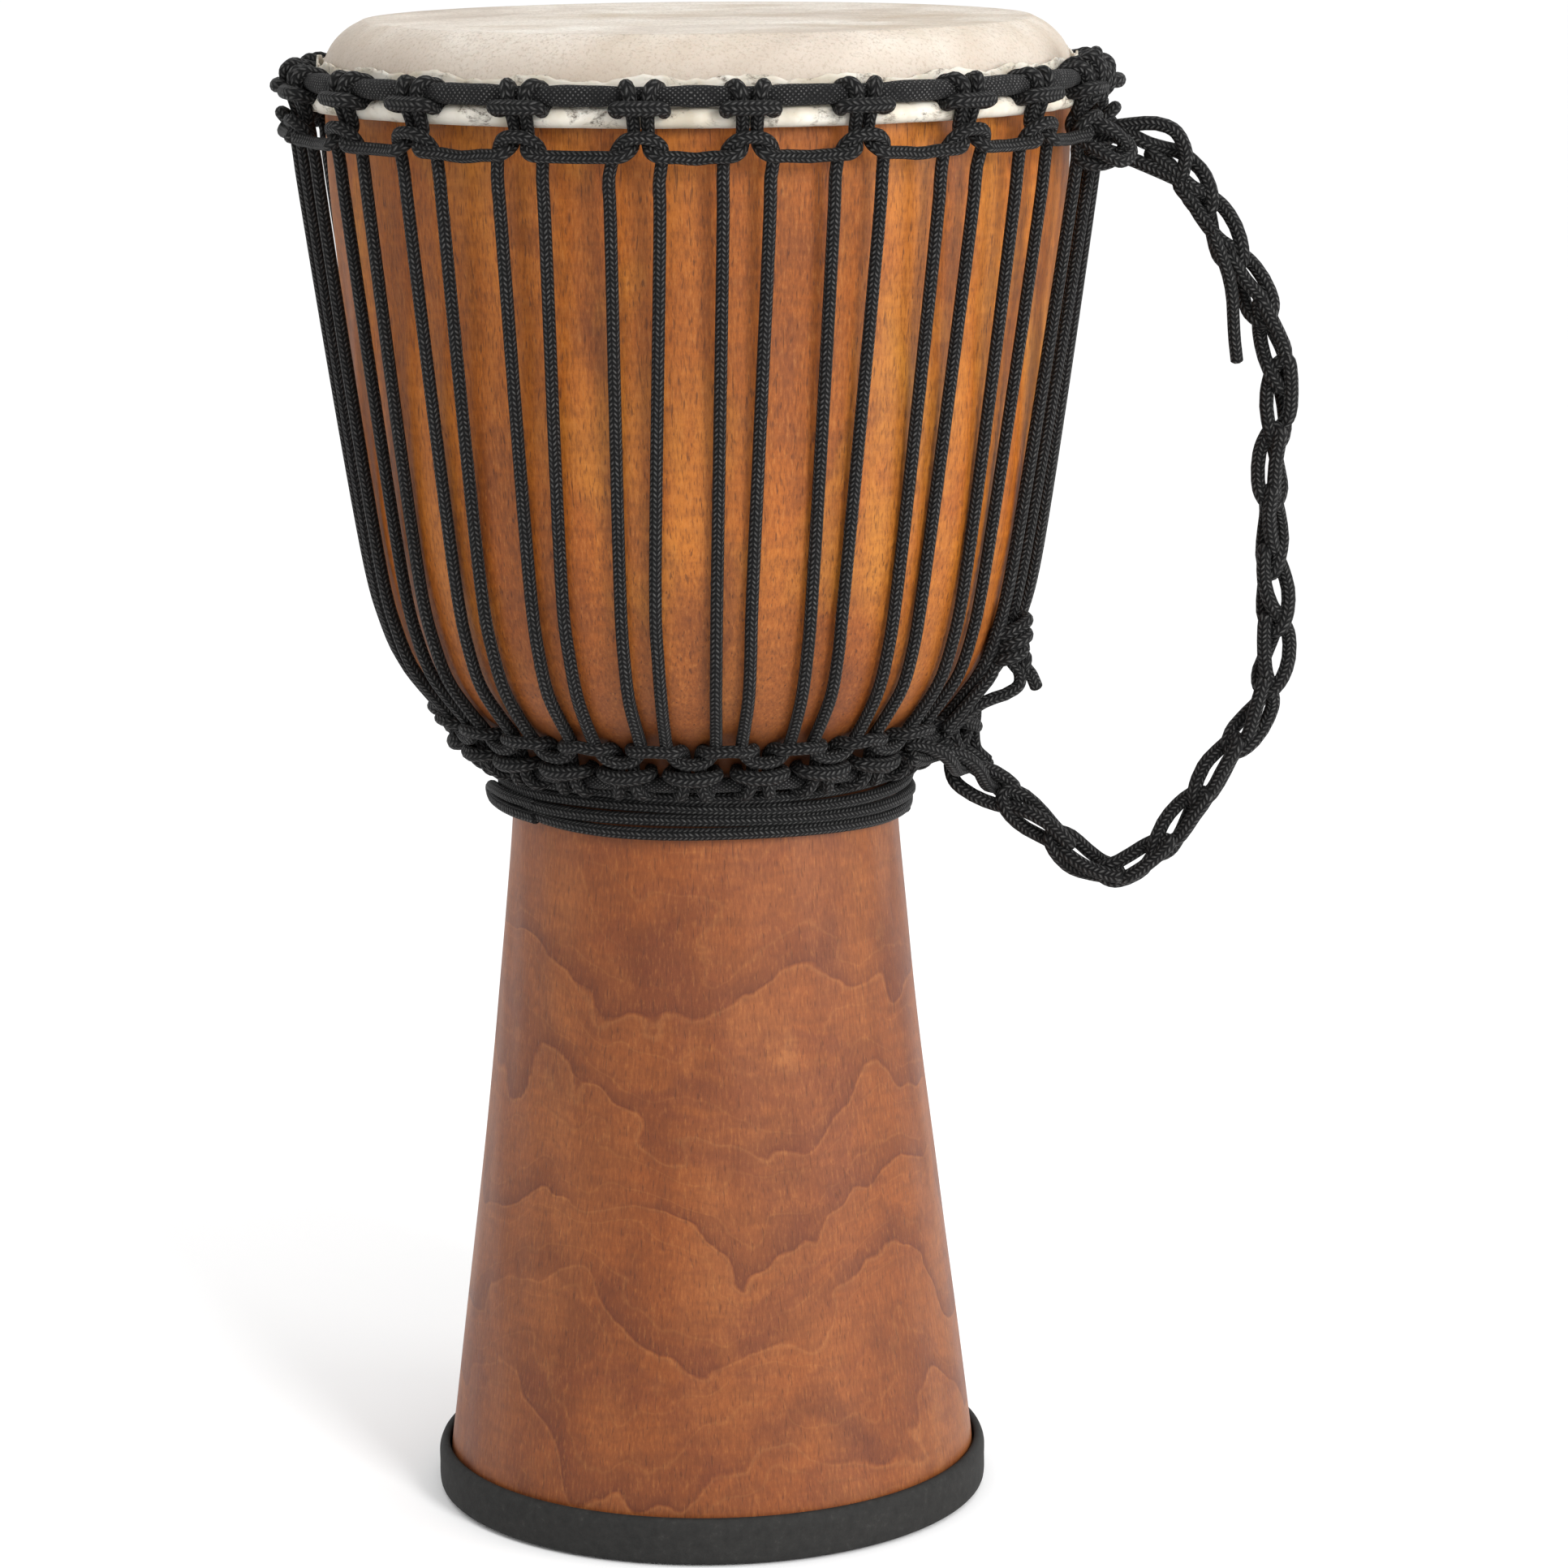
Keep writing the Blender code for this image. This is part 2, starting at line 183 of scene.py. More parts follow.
def smooth_path(points, closed=False, step=0.0009):
    """A centripetal Catmull-Rom line through the points, evenly resampled. A fourth number, the
    rope's size there, is carried along."""
    p = np.array([tuple(q) + (1.0,) * (4 - len(q)) for q in points], float)
    if closed:
        p = np.vstack([p[-1:], p, p[:2]])
    else:
        p = np.vstack([2 * p[0] - p[1], p, 2 * p[-1] - p[-2]])
    runs = []
    for a, b, c, d in zip(p[:-3], p[1:-2], p[2:-1], p[3:]):
        k = [max(np.linalg.norm((v - u)[:3]), 1e-6) ** 0.5 for u, v in ((a, b), (b, c), (c, d))]
        t1, t2, t3 = k[0], k[0] + k[1], sum(k)
        count = max(3, int(np.linalg.norm((c - b)[:3]) / step * 2))
        t = np.linspace(t1, t2, count, endpoint=False)[:, None]
        ab = (t1 - t) / t1 * a + t / t1 * b
        bc = (t2 - t) / (t2 - t1) * b + (t - t1) / (t2 - t1) * c
        cd = (t3 - t) / (t3 - t2) * c + (t - t2) / (t3 - t2) * d
        abc = (t2 - t) / t2 * ab + t / t2 * bc
        bcd = (t3 - t) / (t3 - t1) * bc + (t - t1) / (t3 - t1) * cd
        runs.append((t2 - t) / (t2 - t1) * abc + (t - t1) / (t2 - t1) * bcd)
    line = np.vstack(runs + [p[1:2] if closed else p[-2:-1]])
    along = lengths(line)
    even = np.linspace(0.0, along[-1], int(round(along[-1] / step)) + 1)
    line = np.stack([np.interp(even, along, line[:, i]) for i in range(4)], axis=1)
    return line[:-1] if closed else line


def lengths(line):
    return np.r_[0.0, np.cumsum(np.linalg.norm(np.diff(line[:, :3], axis=0), axis=1))]


def thinned(line, bend=radians(10.0), most=0.0045):
    """Leaves out points where the line runs nearly straight."""
    step = np.diff(line[:, :3], axis=0)
    step /= np.linalg.norm(step, axis=1)[:, None]
    turn = np.arccos(np.clip((step[1:] * step[:-1]).sum(axis=1), -1.0, 1.0))
    gap = np.linalg.norm(np.diff(line[:, :3], axis=0), axis=1)
    keep, turned, gone = [0], 0.0, 0.0
    for i in range(1, len(line) - 1):
        turned += turn[i - 1]
        gone += gap[i - 1]
        if turned > bend or gone > most:
            keep.append(i)
            turned = gone = 0.0
    return line[keep + [len(line) - 1]]


def carried_normals(line, closed):
    """Unit tangents, and normals carried along the line without twist."""
    p = line[:, :3]
    if closed:
        tangent = np.roll(p, -1, axis=0) - np.roll(p, 1, axis=0)
    else:
        tangent = np.gradient(p, axis=0)
    tangent /= np.linalg.norm(tangent, axis=1)[:, None]
    start = np.cross(tangent[0], (0.31, 0.17, 0.93))
    normal = np.empty_like(p)
    normal[0] = start / np.linalg.norm(start)
    for i in range(1, len(p)):
        n = normal[i - 1] - normal[i - 1].dot(tangent[i]) * tangent[i]
        normal[i] = n / np.linalg.norm(n)
    if closed:
        n = normal[-1] - normal[-1].dot(tangent[0]) * tangent[0]
        side = np.cross(tangent[0], normal[0])
        miss = np.arctan2(n.dot(side), n.dot(normal[0]))
        spin = -miss * np.arange(len(p)) / len(p)
        other = np.cross(tangent, normal)
        normal = np.cos(spin)[:, None] * normal + np.sin(spin)[:, None] * other
    return tangent, normal


def grid_mesh(name, rings, closed_along, uv):
    """A mesh of closed rings of points, shape (rings, points, 3); uv(i, j) gives a corner's UV."""
    n, m, _ = rings.shape
    i = np.arange(n if closed_along else n - 1)
    i, j = (a.ravel() for a in np.meshgrid(i, np.arange(m), indexing="ij"))
    i2, j2 = (i + 1) % n, (j + 1) % m
    faces = np.stack([i * m + j, i * m + j2, i2 * m + j2, i2 * m + j], axis=1)
    corners = np.stack([uv(i, j), uv(i, j + 1), uv(i + 1, j + 1), uv(i + 1, j)], axis=1)
    return mesh_of(name, rings.reshape(-1, 3), faces, corners)


def mesh_of(name, points, faces, corners, caps=()):
    """A smooth-shaded mesh of quads, each with its four corners' UVs, and any n-sided caps."""
    mesh = bpy.data.meshes.new(name)
    total = 4 * len(faces) + sum(len(c) for c in caps)
    mesh.vertices.add(len(points))
    mesh.vertices.foreach_set("co", np.asarray(points, np.float32).ravel())
    mesh.loops.add(total)
    loops = np.concatenate([faces.ravel(), *[np.asarray(c) for c in caps]]).astype(np.int32)
    mesh.loops.foreach_set("vertex_index", loops)
    sizes = np.array([4] * len(faces) + [len(c) for c in caps])
    mesh.polygons.add(len(sizes))
    starts = np.r_[0, np.cumsum(sizes)[:-1]].astype(np.int32)
    mesh.polygons.foreach_set("loop_start", starts)
    mesh.polygons.foreach_set("use_smooth", np.ones(len(sizes), bool))
    layer = mesh.uv_layers.new(name="UVMap")
    flat = np.zeros((total, 2), np.float32)
    flat[: 4 * len(faces)] = corners.reshape(-1, 2)
    layer.data.foreach_set("uv", flat.ravel())
    mesh.update(calc_edges=True)
    mesh.validate()
    return mesh


def rope_mesh(name, line, radius, closed=False, sides=12):
    """A round rope along the line, its ends rounded off as a hot knife leaves them."""
    tangent, normal = carried_normals(line, closed)
    size = line[:, 3] * radius
    centre = line[:, :3]
    along = lengths(line)
    if not closed:
        lead = [(0.62, 0.42), (0.42, 0.80), (0.22, 1.0)]
        head = [centre[0] - tangent[0] * radius * a for a, _ in lead]
        foot = [centre[-1] + tangent[-1] * radius * a for a, _ in lead[::-1]]
        centre = np.vstack([head, centre, foot])
        size = np.r_[[b * size[0] for _, b in lead], size, [b * size[-1] for _, b in lead[::-1]]]
        tangent = np.vstack([tangent[:1]] * 3 + [tangent] + [tangent[-1:]] * 3)
        normal = np.vstack([normal[:1]] * 3 + [normal] + [normal[-1:]] * 3)
        along = np.r_[[-0.0015, -0.001, -0.0005], along, along[-1] + np.array([0.0005, 0.001, 0.0015])]
    else:
        along = np.r_[along, along[-1] + np.linalg.norm(centre[0] - centre[-1])]
    other = np.cross(tangent, normal)
    t = 2 * pi * np.arange(sides) / sides
    rings = centre[:, None] + size[:, None, None] * (
        np.cos(t)[None, :, None] * normal[:, None] + np.sin(t)[None, :, None] * other[:, None]
    )

    def uv(i, j):
        return np.stack([j / sides, along[i]], axis=1)

    mesh = grid_mesh(name, rings, closed, uv)
    if not closed:
        close_ends(mesh, len(rings), sides)
    return mesh


def close_ends(mesh, count, sides):
    """Adds the two end faces of an open tube."""
    work = opened(mesh)
    for ring, order in ((0, -1), (count - 1, 1)):
        corner = [work.verts[ring * sides + j] for j in range(sides)][::order]
        work.faces.new(corner).smooth = True
    work.to_mesh(mesh)
    work.free()


def opened(mesh):
    work = bmesh.new()
    work.from_mesh(mesh)
    work.verts.ensure_lookup_table()
    return work


def lathe_mesh(name, profile, steps, shift=None, closed=True):
    """A profile of (radius, height) turned round Z. shift(deg, r, z) may move its points."""
    r, z = np.array(profile).T
    t = 2 * pi * np.arange(steps) / steps
    deg = np.degrees(t)[None, :].repeat(len(r), axis=0)
    rr, zz = r[:, None] + 0 * deg, z[:, None] + 0 * deg
    if shift:
        rr, zz = shift(deg, rr, zz)
    rings = np.stack([rr * np.sin(t), -rr * np.cos(t), zz], axis=2)
    along = np.r_[0.0, np.cumsum(np.hypot(np.diff(r), np.diff(z)))]
    along = np.r_[along, along[-1] + 0.001]

    def uv(i, j):
        return np.stack([j / steps, along[i]], axis=1)

    return grid_mesh(name, rings, closed, uv)


def curve_2d(points, step=0.002):
    """The smooth profile through the points, as (r, z) pairs."""
    line = smooth_path([(r, 0.0, z) for r, z in points], step=step)
    return [(float(q[0]), float(q[2])) for q in line]


def place(name, mesh, material, body, slot, nodes=()):
    item = bpy.data.objects.new(name, mesh)
    bpy.context.scene.collection.objects.link(item)
    mesh.materials.clear()
    mesh.materials.append(material)
    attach(item, body)
    if nodes:
        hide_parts(*nodes)
    return item


def lay_rope(name, points, radius, braid, body, slot, nodes=(), closed=False, most=0.0045):
    """One rope through the points. Gives the piece and its centre line."""
    line = thinned(smooth_path(points, closed), most=most)
    return place(name, rope_mesh(name, line, radius, closed), braid, body, slot, nodes), line


def end_to_end(line):
    return round(float(lengths(line)[-1]), 3)


# ---- materials ----
class Nodes:
    """Short calls for building one material's nodes."""

    def __init__(self, name, roughness, **uniform):
        self.material = bpy.data.materials.new(name)
        self.material.use_nodes = True
        self.tree = self.material.node_tree
        self.shader = self.tree.nodes["Principled BSDF"]
        self.shader.inputs["Roughness"].default_value = roughness
        for socket, value in uniform.items():
            self.shader.inputs[socket.replace("_", " ")].default_value = value

    def add(self, kind, inputs=None, **settings):
        node = self.tree.nodes.new("ShaderNode" + kind)
        for key, value in settings.items():
            setattr(node, key, value)
        for key, value in (inputs or {}).items():
            self.put(node.inputs[key], value)
        return node

    def put(self, socket, value):
        if isinstance(value, bpy.types.NodeSocket):
            self.tree.links.new(value, socket)
        else:
            socket.default_value = value

    def math(self, operation, *values):
        node = self.add("Math", operation=operation)
        for socket, value in zip(node.inputs, values):
            self.put(socket, value)
        return node.outputs[0]

    def times(self, first, *others):
        """The product of two or more values."""
        for value in others:
            first = self.math("MULTIPLY", first, value)
        return first

    def rope_uv(self):
        """The two numbers of the piece's own UV map."""
        uv = self.add("UVMap", uv_map="UVMap").outputs[0]
        return self.add("SeparateXYZ", {"Vector": uv}).outputs

    def where(self, scale=(1.0, 1.0, 1.0), place=(0.0, 0.0, 0.0)):
        """Object coordinates, scaled and moved."""
        coord = self.add("TexCoord").outputs["Object"]
        return self.add("Mapping", {"Vector": coord, "Scale": scale, "Location": place}).outputs[0]

    def noise(self, vector, scale, detail=3.0, rough=0.55, distort=0.0):
        inputs = {"Vector": vector, "Scale": scale, "Detail": detail, "Roughness": rough}
        return self.add("TexNoise", {**inputs, "Distortion": distort}).outputs["Fac"]

    def ramp(self, value, *stops):
        """A colour ramp; each stop is (place, colour or grey)."""
        node = self.add("ValToRGB", {"Fac": value})
        band = node.color_ramp
        while len(band.elements) < len(stops):
            band.elements.new(0.5)
        for element, (spot, colour) in zip(band.elements, stops):
            element.position = spot
            element.color = (colour,) * 3 + (1.0,) if isinstance(colour, float) else (*colour, 1.0)
        return node.outputs["Color"]

    def mix(self, fac, a, b):
        node = self.add("Mix", data_type="RGBA")
        for socket, value in ((node.inputs[0], fac), (node.inputs[6], a), (node.inputs[7], b)):
            if isinstance(value, tuple) and len(value) == 3:
                value = (*value, 1.0)
            self.put(socket, value)
        return node.outputs[2]

    def bump(self, height, strength, distance, under=None):
        node = self.add("Bump", {"Height": height, "Strength": strength, "Distance": distance})
        if under is not None:
            self.put(node.inputs["Normal"], under)
        return node.outputs["Normal"]

    def finish(self, colour=None, normal=None, roughness=None):
        for socket, value in (("Base Color", colour), ("Normal", normal), ("Roughness", roughness)):
            if value is not None:
                self.put(self.shader.inputs[socket], value)
        return self.material


def braid_material():
    """Black braided polyester: eight columns of slanted stitches round a rope, painted shade in their
    gaps and painted highlights on their crests.
    """
    n = Nodes("braided_cord", 0.62, Sheen_Weight=0.02, Sheen_Roughness=0.5, Specular_IOR_Level=0.12)
    uv = n.rope_uv()
    column = n.times(uv[0], BRAID_COLUMNS)
    inside = n.math("FRACT", column)
    zigzag = n.math("PINGPONG", column, 1.0)
    wobble = n.times(n.noise(n.where(), 170.0, 1.0), 0.6)
    row = n.math("ADD", n.math("DIVIDE", uv[1], BRAID_PITCH), wobble)
    phase = n.math("ADD", row, n.times(zigzag, 0.85))
    wave = n.math("SINE", n.times(phase, 2 * pi))
    ridge = n.math("MULTIPLY_ADD", wave, 0.5, 0.5)
    bulge = n.math("SINE", n.times(inside, pi))
    stitch = n.times(n.math("POWER", bulge, 0.6), n.math("POWER", ridge, 0.7))
    fibre = n.noise(n.where(), 2600.0, 2.0, 0.7)
    glint = n.ramp(n.noise(n.where(), 640.0, 3.0, 0.75), (0.38, 0.12), (0.62, 1.0))
    # The ramp paints shade: darkest in the gaps between the stitches, lightest on their crests.
    colour = n.ramp(stitch, (0.0, (0.0016, 0.0016, 0.0018)), (0.50, (0.0045, 0.0044, 0.0044)),
                    (1.0, (0.017, 0.0167, 0.0163)))
    # Painted highlight: pale glints mixed onto the stitch crests.
    crest = n.ramp(stitch, (0.45, 0.0), (0.90, 1.0))
    stitch_highlight = n.times(glint, crest, 0.55)
    colour = n.mix(stitch_highlight, colour, (0.115, 0.113, 0.110))
    height = n.math("ADD", stitch, n.times(fibre, 0.25))
    return n.finish(colour, n.bump(height, 1.0, 0.0006))


def cloth_material():
    """Fuzzy black tape wound round the rings: a coarse weave whose threads carry painted glints,
    lapped edges.
    """
    n = Nodes("ring_tape", 0.9, Sheen_Weight=0.04, Sheen_Roughness=0.6, Specular_IOR_Level=0.12)
    uv = n.rope_uv()
    turn = n.times(uv[0], TAPE_COLUMNS)
    along = n.math("DIVIDE", uv[1], TAPE_PITCH)
    sway = n.times(n.noise(n.where(), 130.0, 2.0), 1.6)
    one = n.math("SINE", n.times(n.math("ADD", n.math("ADD", turn, along), sway), pi))
    two = n.math("SINE", n.times(n.math("SUBTRACT", turn, along), pi))
    weave = n.times(n.math("ABSOLUTE", one), n.math("ABSOLUTE", two))
    lap = n.math("FRACT", n.math("ADD", n.math("DIVIDE", uv[1], TAPE_LAP), uv[0]))
    edge = n.ramp(lap, (0.0, 0.0), (0.05, 1.0), (0.94, 0.8), (1.0, 0.0))
    fuzz = n.noise(n.where(), 1500.0, 4.0, 0.8)
    lump = n.noise(n.where(), 190.0, 3.0)
    colour = n.ramp(fuzz, (0.3, (0.0022, 0.0022, 0.0026)), (0.62, (0.009, 0.0088, 0.009)),
                    (0.8, (0.026, 0.0255, 0.025)))
    # Painted highlight: pale glint dots where the weave's threads cross.
    thread_glint = n.times(n.ramp(weave, (0.66, 0.0), (0.92, 1.0)),
                    n.ramp(lump, (0.35, 0.2), (0.60, 1.0)))
    colour = n.mix(n.times(thread_glint, 0.52), colour, (0.20, 0.196, 0.190))
    height = n.math("ADD", n.times(edge, 0.6), n.math("ADD", fuzz, lump))
    height = n.math("ADD", height, n.times(weave, 0.5))
    return n.finish(colour, n.bump(height, 0.8, 0.0007))


def stave_colour(n, on_bowl):
    """Broad staves of lighter and darker wood, golden on the bowl, with red and dusky patches."""
    stave = n.noise(n.where((1.0, 1.0, 0.14)), 26.0, 4.0, 0.6, 0.4)
    base = n.ramp(stave, (0.28, (0.180, 0.047, 0.0115)), (0.44, (0.240, 0.068, 0.0170)),
                  (0.58, (0.285, 0.087, 0.0235)), (0.76, (0.335, 0.115, 0.0325)))
    golden = n.ramp(stave, (0.30, (0.320, 0.082, 0.0080)), (0.48, (0.430, 0.122, 0.0125)),
                    (0.70, (0.570, 0.195, 0.0220)))
    base = n.mix(n.times(on_bowl, 0.92), base, golden)
    patch = n.noise(n.where((1.0, 1.0, 0.42), (0.31, 0.13, 0.07)), 13.0, 3.0, 0.55, 0.6)
    red = n.ramp(patch, (0.42, 0.0), (0.66, 1.0))
    base = n.mix(n.times(red, 0.50), base, (0.262, 0.064, 0.0110))
    gold_spot = n.noise(n.where((1.0, 1.0, 0.50), (0.02, 0.71, 0.44)), 19.0, 3.0, 0.5, 0.5)
    gold = n.times(n.ramp(gold_spot, (0.54, 0.0), (0.72, 1.0)), on_bowl)
    base = n.mix(n.times(gold, 0.70), base, (0.520, 0.205, 0.0220))
    dusk = n.noise(n.where((1.0, 1.0, 0.6), (0.7, 0.3, 0.2)), 24.0, 4.0, 0.6, 0.8)
    dusk = n.ramp(dusk, (0.52, 0.0), (0.70, 1.0))
    return n.mix(n.times(dusk, 0.62), base, (0.140, 0.036, 0.0115))


def growth_rings(n, base, height, on_foot):
    """Growth rings met at a slant: lines that wander round the foot like contours, dark on one
    side with a pale edge on the other, finer lines between them, and reddish blots."""
    sway = n.noise(n.where((1.0, 1.0, 0.9), (0.4, 0.0, 0.2)), 9.5, 3.0, 0.5, 0.25)
    hills = n.times(n.noise(n.where(place=(0.7, 0.4, 0.9)), 8.0, 1.0), 4.0)
    ripple = n.noise(n.where(place=(0.1, 0.3, 0.0)), 40.0, 4.0, 0.6)
    level = n.math("MULTIPLY_ADD", sway, 0.20, height)
    level = n.math("MULTIPLY_ADD", n.math("PINGPONG", hills, 1.0), 0.028, level)
    level = n.math("MULTIPLY_ADD", ripple, 0.012, level)
    broken = n.ramp(n.noise(n.where(place=(0.9, 0.2, 0.5)), 16.0, 2.0), (0.34, 0.0), (0.53, 1.0))

    ring = n.math("FRACT", n.times(level, RINGS_PER_METRE))
    dark = n.ramp(ring, (0.0, 1.0), (0.035, 0.80), (0.16, 0.50), (0.42, 0.0), (0.975, 0.0), (1.0, 1.0))
    dark = n.times(dark, on_foot, broken)
    base = n.mix(n.times(dark, 0.86), base, (0.125, 0.028, 0.0095))
    pale = n.ramp(ring, (0.925, 0.0), (0.962, 1.0), (0.978, 0.0))
    pale = n.times(pale, on_foot, 0.22)
    base = n.mix(pale, base, (0.440, 0.185, 0.0600))

    fine_ring = n.math("FRACT", n.times(level, FINE_PER_METRE))
    fine = n.ramp(fine_ring, (0.0, 0.8), (0.10, 0.0), (0.90, 0.0), (1.0, 0.8))
    fine = n.times(fine, on_foot, broken)
    base = n.mix(n.times(fine, 0.30), base, (0.150, 0.038, 0.0110))
    silk_ring = n.math("FRACT", n.times(level, SILK_PER_METRE))
    silk = n.ramp(silk_ring, (0.0, 0.0), (0.46, 0.0), (0.50, 1.0), (0.54, 0.0))
    silk = n.times(silk, on_foot, 0.16)
    base = n.mix(silk, base, (0.440, 0.180, 0.0500))

    blot = n.noise(n.where((1.0, 1.0, 1.3), (0.15, 0.9, 0.35)), 15.0, 5.0, 0.62, 1.1)
    blot = n.times(n.ramp(blot, (0.53, 0.0), (0.61, 1.0)), on_foot)
    return n.mix(n.times(blot, 0.36), base, (0.150, 0.034, 0.0135))


def wood_fibres(n, base, fleck, pore, on_foot):
    """Speckle of short fibres, dark pores, faint cross bands of rippled grain, and pin knots."""
    vivid = n.math("MULTIPLY_ADD", on_foot, -0.38, 1.0)
    dark_fleck = n.times(n.ramp(fleck, (0.36, 0.50), (0.52, 0.0)), vivid)
    base = n.mix(dark_fleck, base, (0.085, 0.022, 0.0060))
    light_fleck = n.times(n.ramp(fleck, (0.54, 0.0), (0.70, 0.40)), vivid)
    base = n.mix(light_fleck, base, (0.540, 0.225, 0.0600))
    band = n.noise(n.where((0.35, 0.35, 2.2), (0.2, 0.2, 0.0)), 120.0, 3.0, 0.6)
    band = n.times(n.ramp(band, (0.40, 1.0), (0.58, 0.0)), 0.20)
    base = n.mix(band, base, (0.120, 0.034, 0.0100))
    base = n.mix(n.times(pore, vivid, 0.6), base, (0.055, 0.016, 0.0060))
    speck = n.add("TexVoronoi", {"Vector": n.where((1.0, 1.0, 0.6)), "Scale": 19.0})
    dot = n.ramp(speck.outputs["Distance"], (0.0, 1.0), (0.035, 0.75), (0.06, 0.0))
    return n.mix(n.times(dot, 0.6), base, (0.050, 0.018, 0.0080))


def wood_material():
    """Oiled mahogany: golden staves on the bowl, contour lines on the foot, painted shade in the neck.
    """
    n = Nodes("oiled_hardwood", 0.45, Specular_IOR_Level=0.26)
    height = n.add("SeparateXYZ", {"Vector": n.where()}).outputs[2]
    on_foot = n.ramp(height, (0.272, 1.0), (0.322, 0.06))
    on_bowl = n.ramp(height, (0.31, 0.0), (0.40, 1.0))
    fleck = n.noise(n.where((1.0, 1.0, 0.20)), 900.0, 4.0, 0.75)
    pore = n.noise(n.where((1.0, 1.0, 0.10), (0.6, 0.6, 0.0)), 1300.0, 1.0)
    pore = n.ramp(pore, (0.63, 0.0), (0.71, 1.0))
    base = growth_rings(n, stave_colour(n, on_bowl), height, on_foot)
    base = wood_fibres(n, base, fleck, pore, on_foot)
    # Painted shade: darker round the neck, under the bottom ring and the wound rope.
    neck_shade = n.ramp(height, (0.288, 0.0), (0.304, 0.90), (0.329, 0.86), (0.343, 0.20), (0.42, 0.0))
    base = n.mix(neck_shade, base, (0.070, 0.024, 0.0100))
    base = n.mix(n.math("MULTIPLY_ADD", on_foot, 0.06, 0.13), base, (0.0, 0.0, 0.0))
    relief = n.math("SUBTRACT", n.times(fleck, 0.5), n.times(pore, 0.8))
    normal = n.bump(n.noise(n.where((1.0, 1.0, 0.35)), 30.0, 2.0), 0.22, 0.002)
    normal = n.bump(relief, 0.35, 0.0003, normal)
    gloss = n.math("MULTIPLY_ADD", n.noise(n.where((1.0, 1.0, 0.3)), 40.0, 3.0), 0.22, 0.36)
    return n.finish(base, normal, gloss)


def skin_material():
    """Shaved goatskin: warm grey, clouded and speckled with hair roots. Past the bearing edge its
    cut strip is cream rawhide with smudges of hair left on it."""
    n = Nodes("shaved_goatskin", 0.7, Specular_IOR_Level=0.15, Subsurface_Weight=0.06,
              Subsurface_Scale=0.002)
    uv = n.rope_uv()
    cloud = n.noise(n.where(), 9.0, 5.0, 0.6, 0.8)
    vein = n.noise(n.where((1.0, 1.6, 1.0), (0.3, 0.0, 0.0)), 30.0, 4.0, 0.6, 1.2)
    base = n.ramp(cloud, (0.36, (0.500, 0.432, 0.365)), (0.50, (0.660, 0.595, 0.520)),
                  (0.64, (0.760, 0.712, 0.640)))
    base = n.mix(n.times(n.ramp(vein, (0.50, 0.0), (0.72, 1.0)), 0.40), base,
                 (0.500, 0.420, 0.345))
    tan = n.ramp(n.noise(n.where(place=(0.8, 0.1, 0.3)), 15.0, 4.0), (0.50, 0.0), (0.70, 1.0))
    base = n.mix(n.times(tan, 0.66), base, (0.440, 0.345, 0.240))
    root = n.ramp(n.noise(n.where(place=(0.2, 0.5, 0.9)), 760.0, 3.0, 0.72), (0.50, 0.0), (0.66, 1.0))
    base = n.mix(n.times(root, 0.62), base, (0.290, 0.238, 0.190))
    # Painted shade: the sloped side of the head, past the bearing edge, is darker.
    side = n.ramp(uv[1], (HEAD_EDGE_V - 0.010, 0.0), (HEAD_EDGE_V + 0.014, 1.0))
    base = n.mix(n.times(side, 0.62), base, (0.400, 0.335, 0.275))

    # The fold round the flesh ring and the cut edge above it.
    strip = n.ramp(uv[1], (STRIP_V - 0.002, 0.0), (STRIP_V + 0.002, 1.0))
    rawhide = n.ramp(n.noise(n.where(place=(0.5, 0.2, 0.0)), 60.0, 3.0, 0.6),
                     (0.35, (0.500, 0.445, 0.350)), (0.60, (0.640, 0.605, 0.535)))
    hair = n.ramp(n.noise(n.where((1.0, 1.0, 1.6), (0.1, 0.4, 0.0)), 85.0, 4.0, 0.75, 0.6),
                  (0.53, 0.0), (0.64, 1.0))
    strand = n.ramp(n.noise(n.where((1.0, 1.0, 2.0)), 900.0, 3.0, 0.7), (0.36, 0.1), (0.60, 1.0))
    rawhide = n.mix(n.times(hair, strand, 0.9), rawhide,
                    (0.085, 0.066, 0.050))
    base = n.mix(strip, base, rawhide)
    grain = n.noise(n.where(), 900.0, 3.0, 0.65)
    wave = n.noise(n.where(), 70.0, 3.0)
    normal = n.bump(wave, 0.12, 0.0012)
    normal = n.bump(grain, 0.35, 0.0003, normal)
    return n.finish(base, normal)


def rubber_material():
    """Matt black rubber, dusty and scuffed."""
    n = Nodes("foot_rubber_look", 0.85, Specular_IOR_Level=0.18)
    dust = n.noise(n.where(), 240.0, 5.0, 0.75)
    cloud = n.noise(n.where(), 18.0, 3.0)
    colour = n.ramp(dust, (0.30, (0.012, 0.0118, 0.0115)), (0.60, (0.021, 0.0205, 0.0195)),
                    (0.80, (0.048, 0.046, 0.043)))
    colour = n.mix(n.times(cloud, 0.25), colour, (0.032, 0.031, 0.029))
    grain = n.noise(n.where(), 1300.0, 3.0, 0.7)
    rough = n.math("MULTIPLY_ADD", cloud, 0.2, 0.70)
    return n.finish(colour, n.bump(grain, 0.4, 0.0003), rough)


def steel_material():
    """Bare steel rod, a little rusted, hidden inside the wrappings."""
    n = Nodes("ring_steel", 0.4, Metallic=1.0)
    rust = n.ramp(n.noise(n.where(), 120.0, 4.0, 0.7), (0.50, 0.0), (0.68, 1.0))
    colour = n.mix(n.times(rust, 0.7), (0.42, 0.41, 0.40), (0.16, 0.07, 0.035))
    rough = n.math("MULTIPLY_ADD", rust, 0.35, 0.35)
    return n.finish(colour, n.bump(n.noise(n.where(), 700.0, 3.0), 0.3, 0.0003), rough)


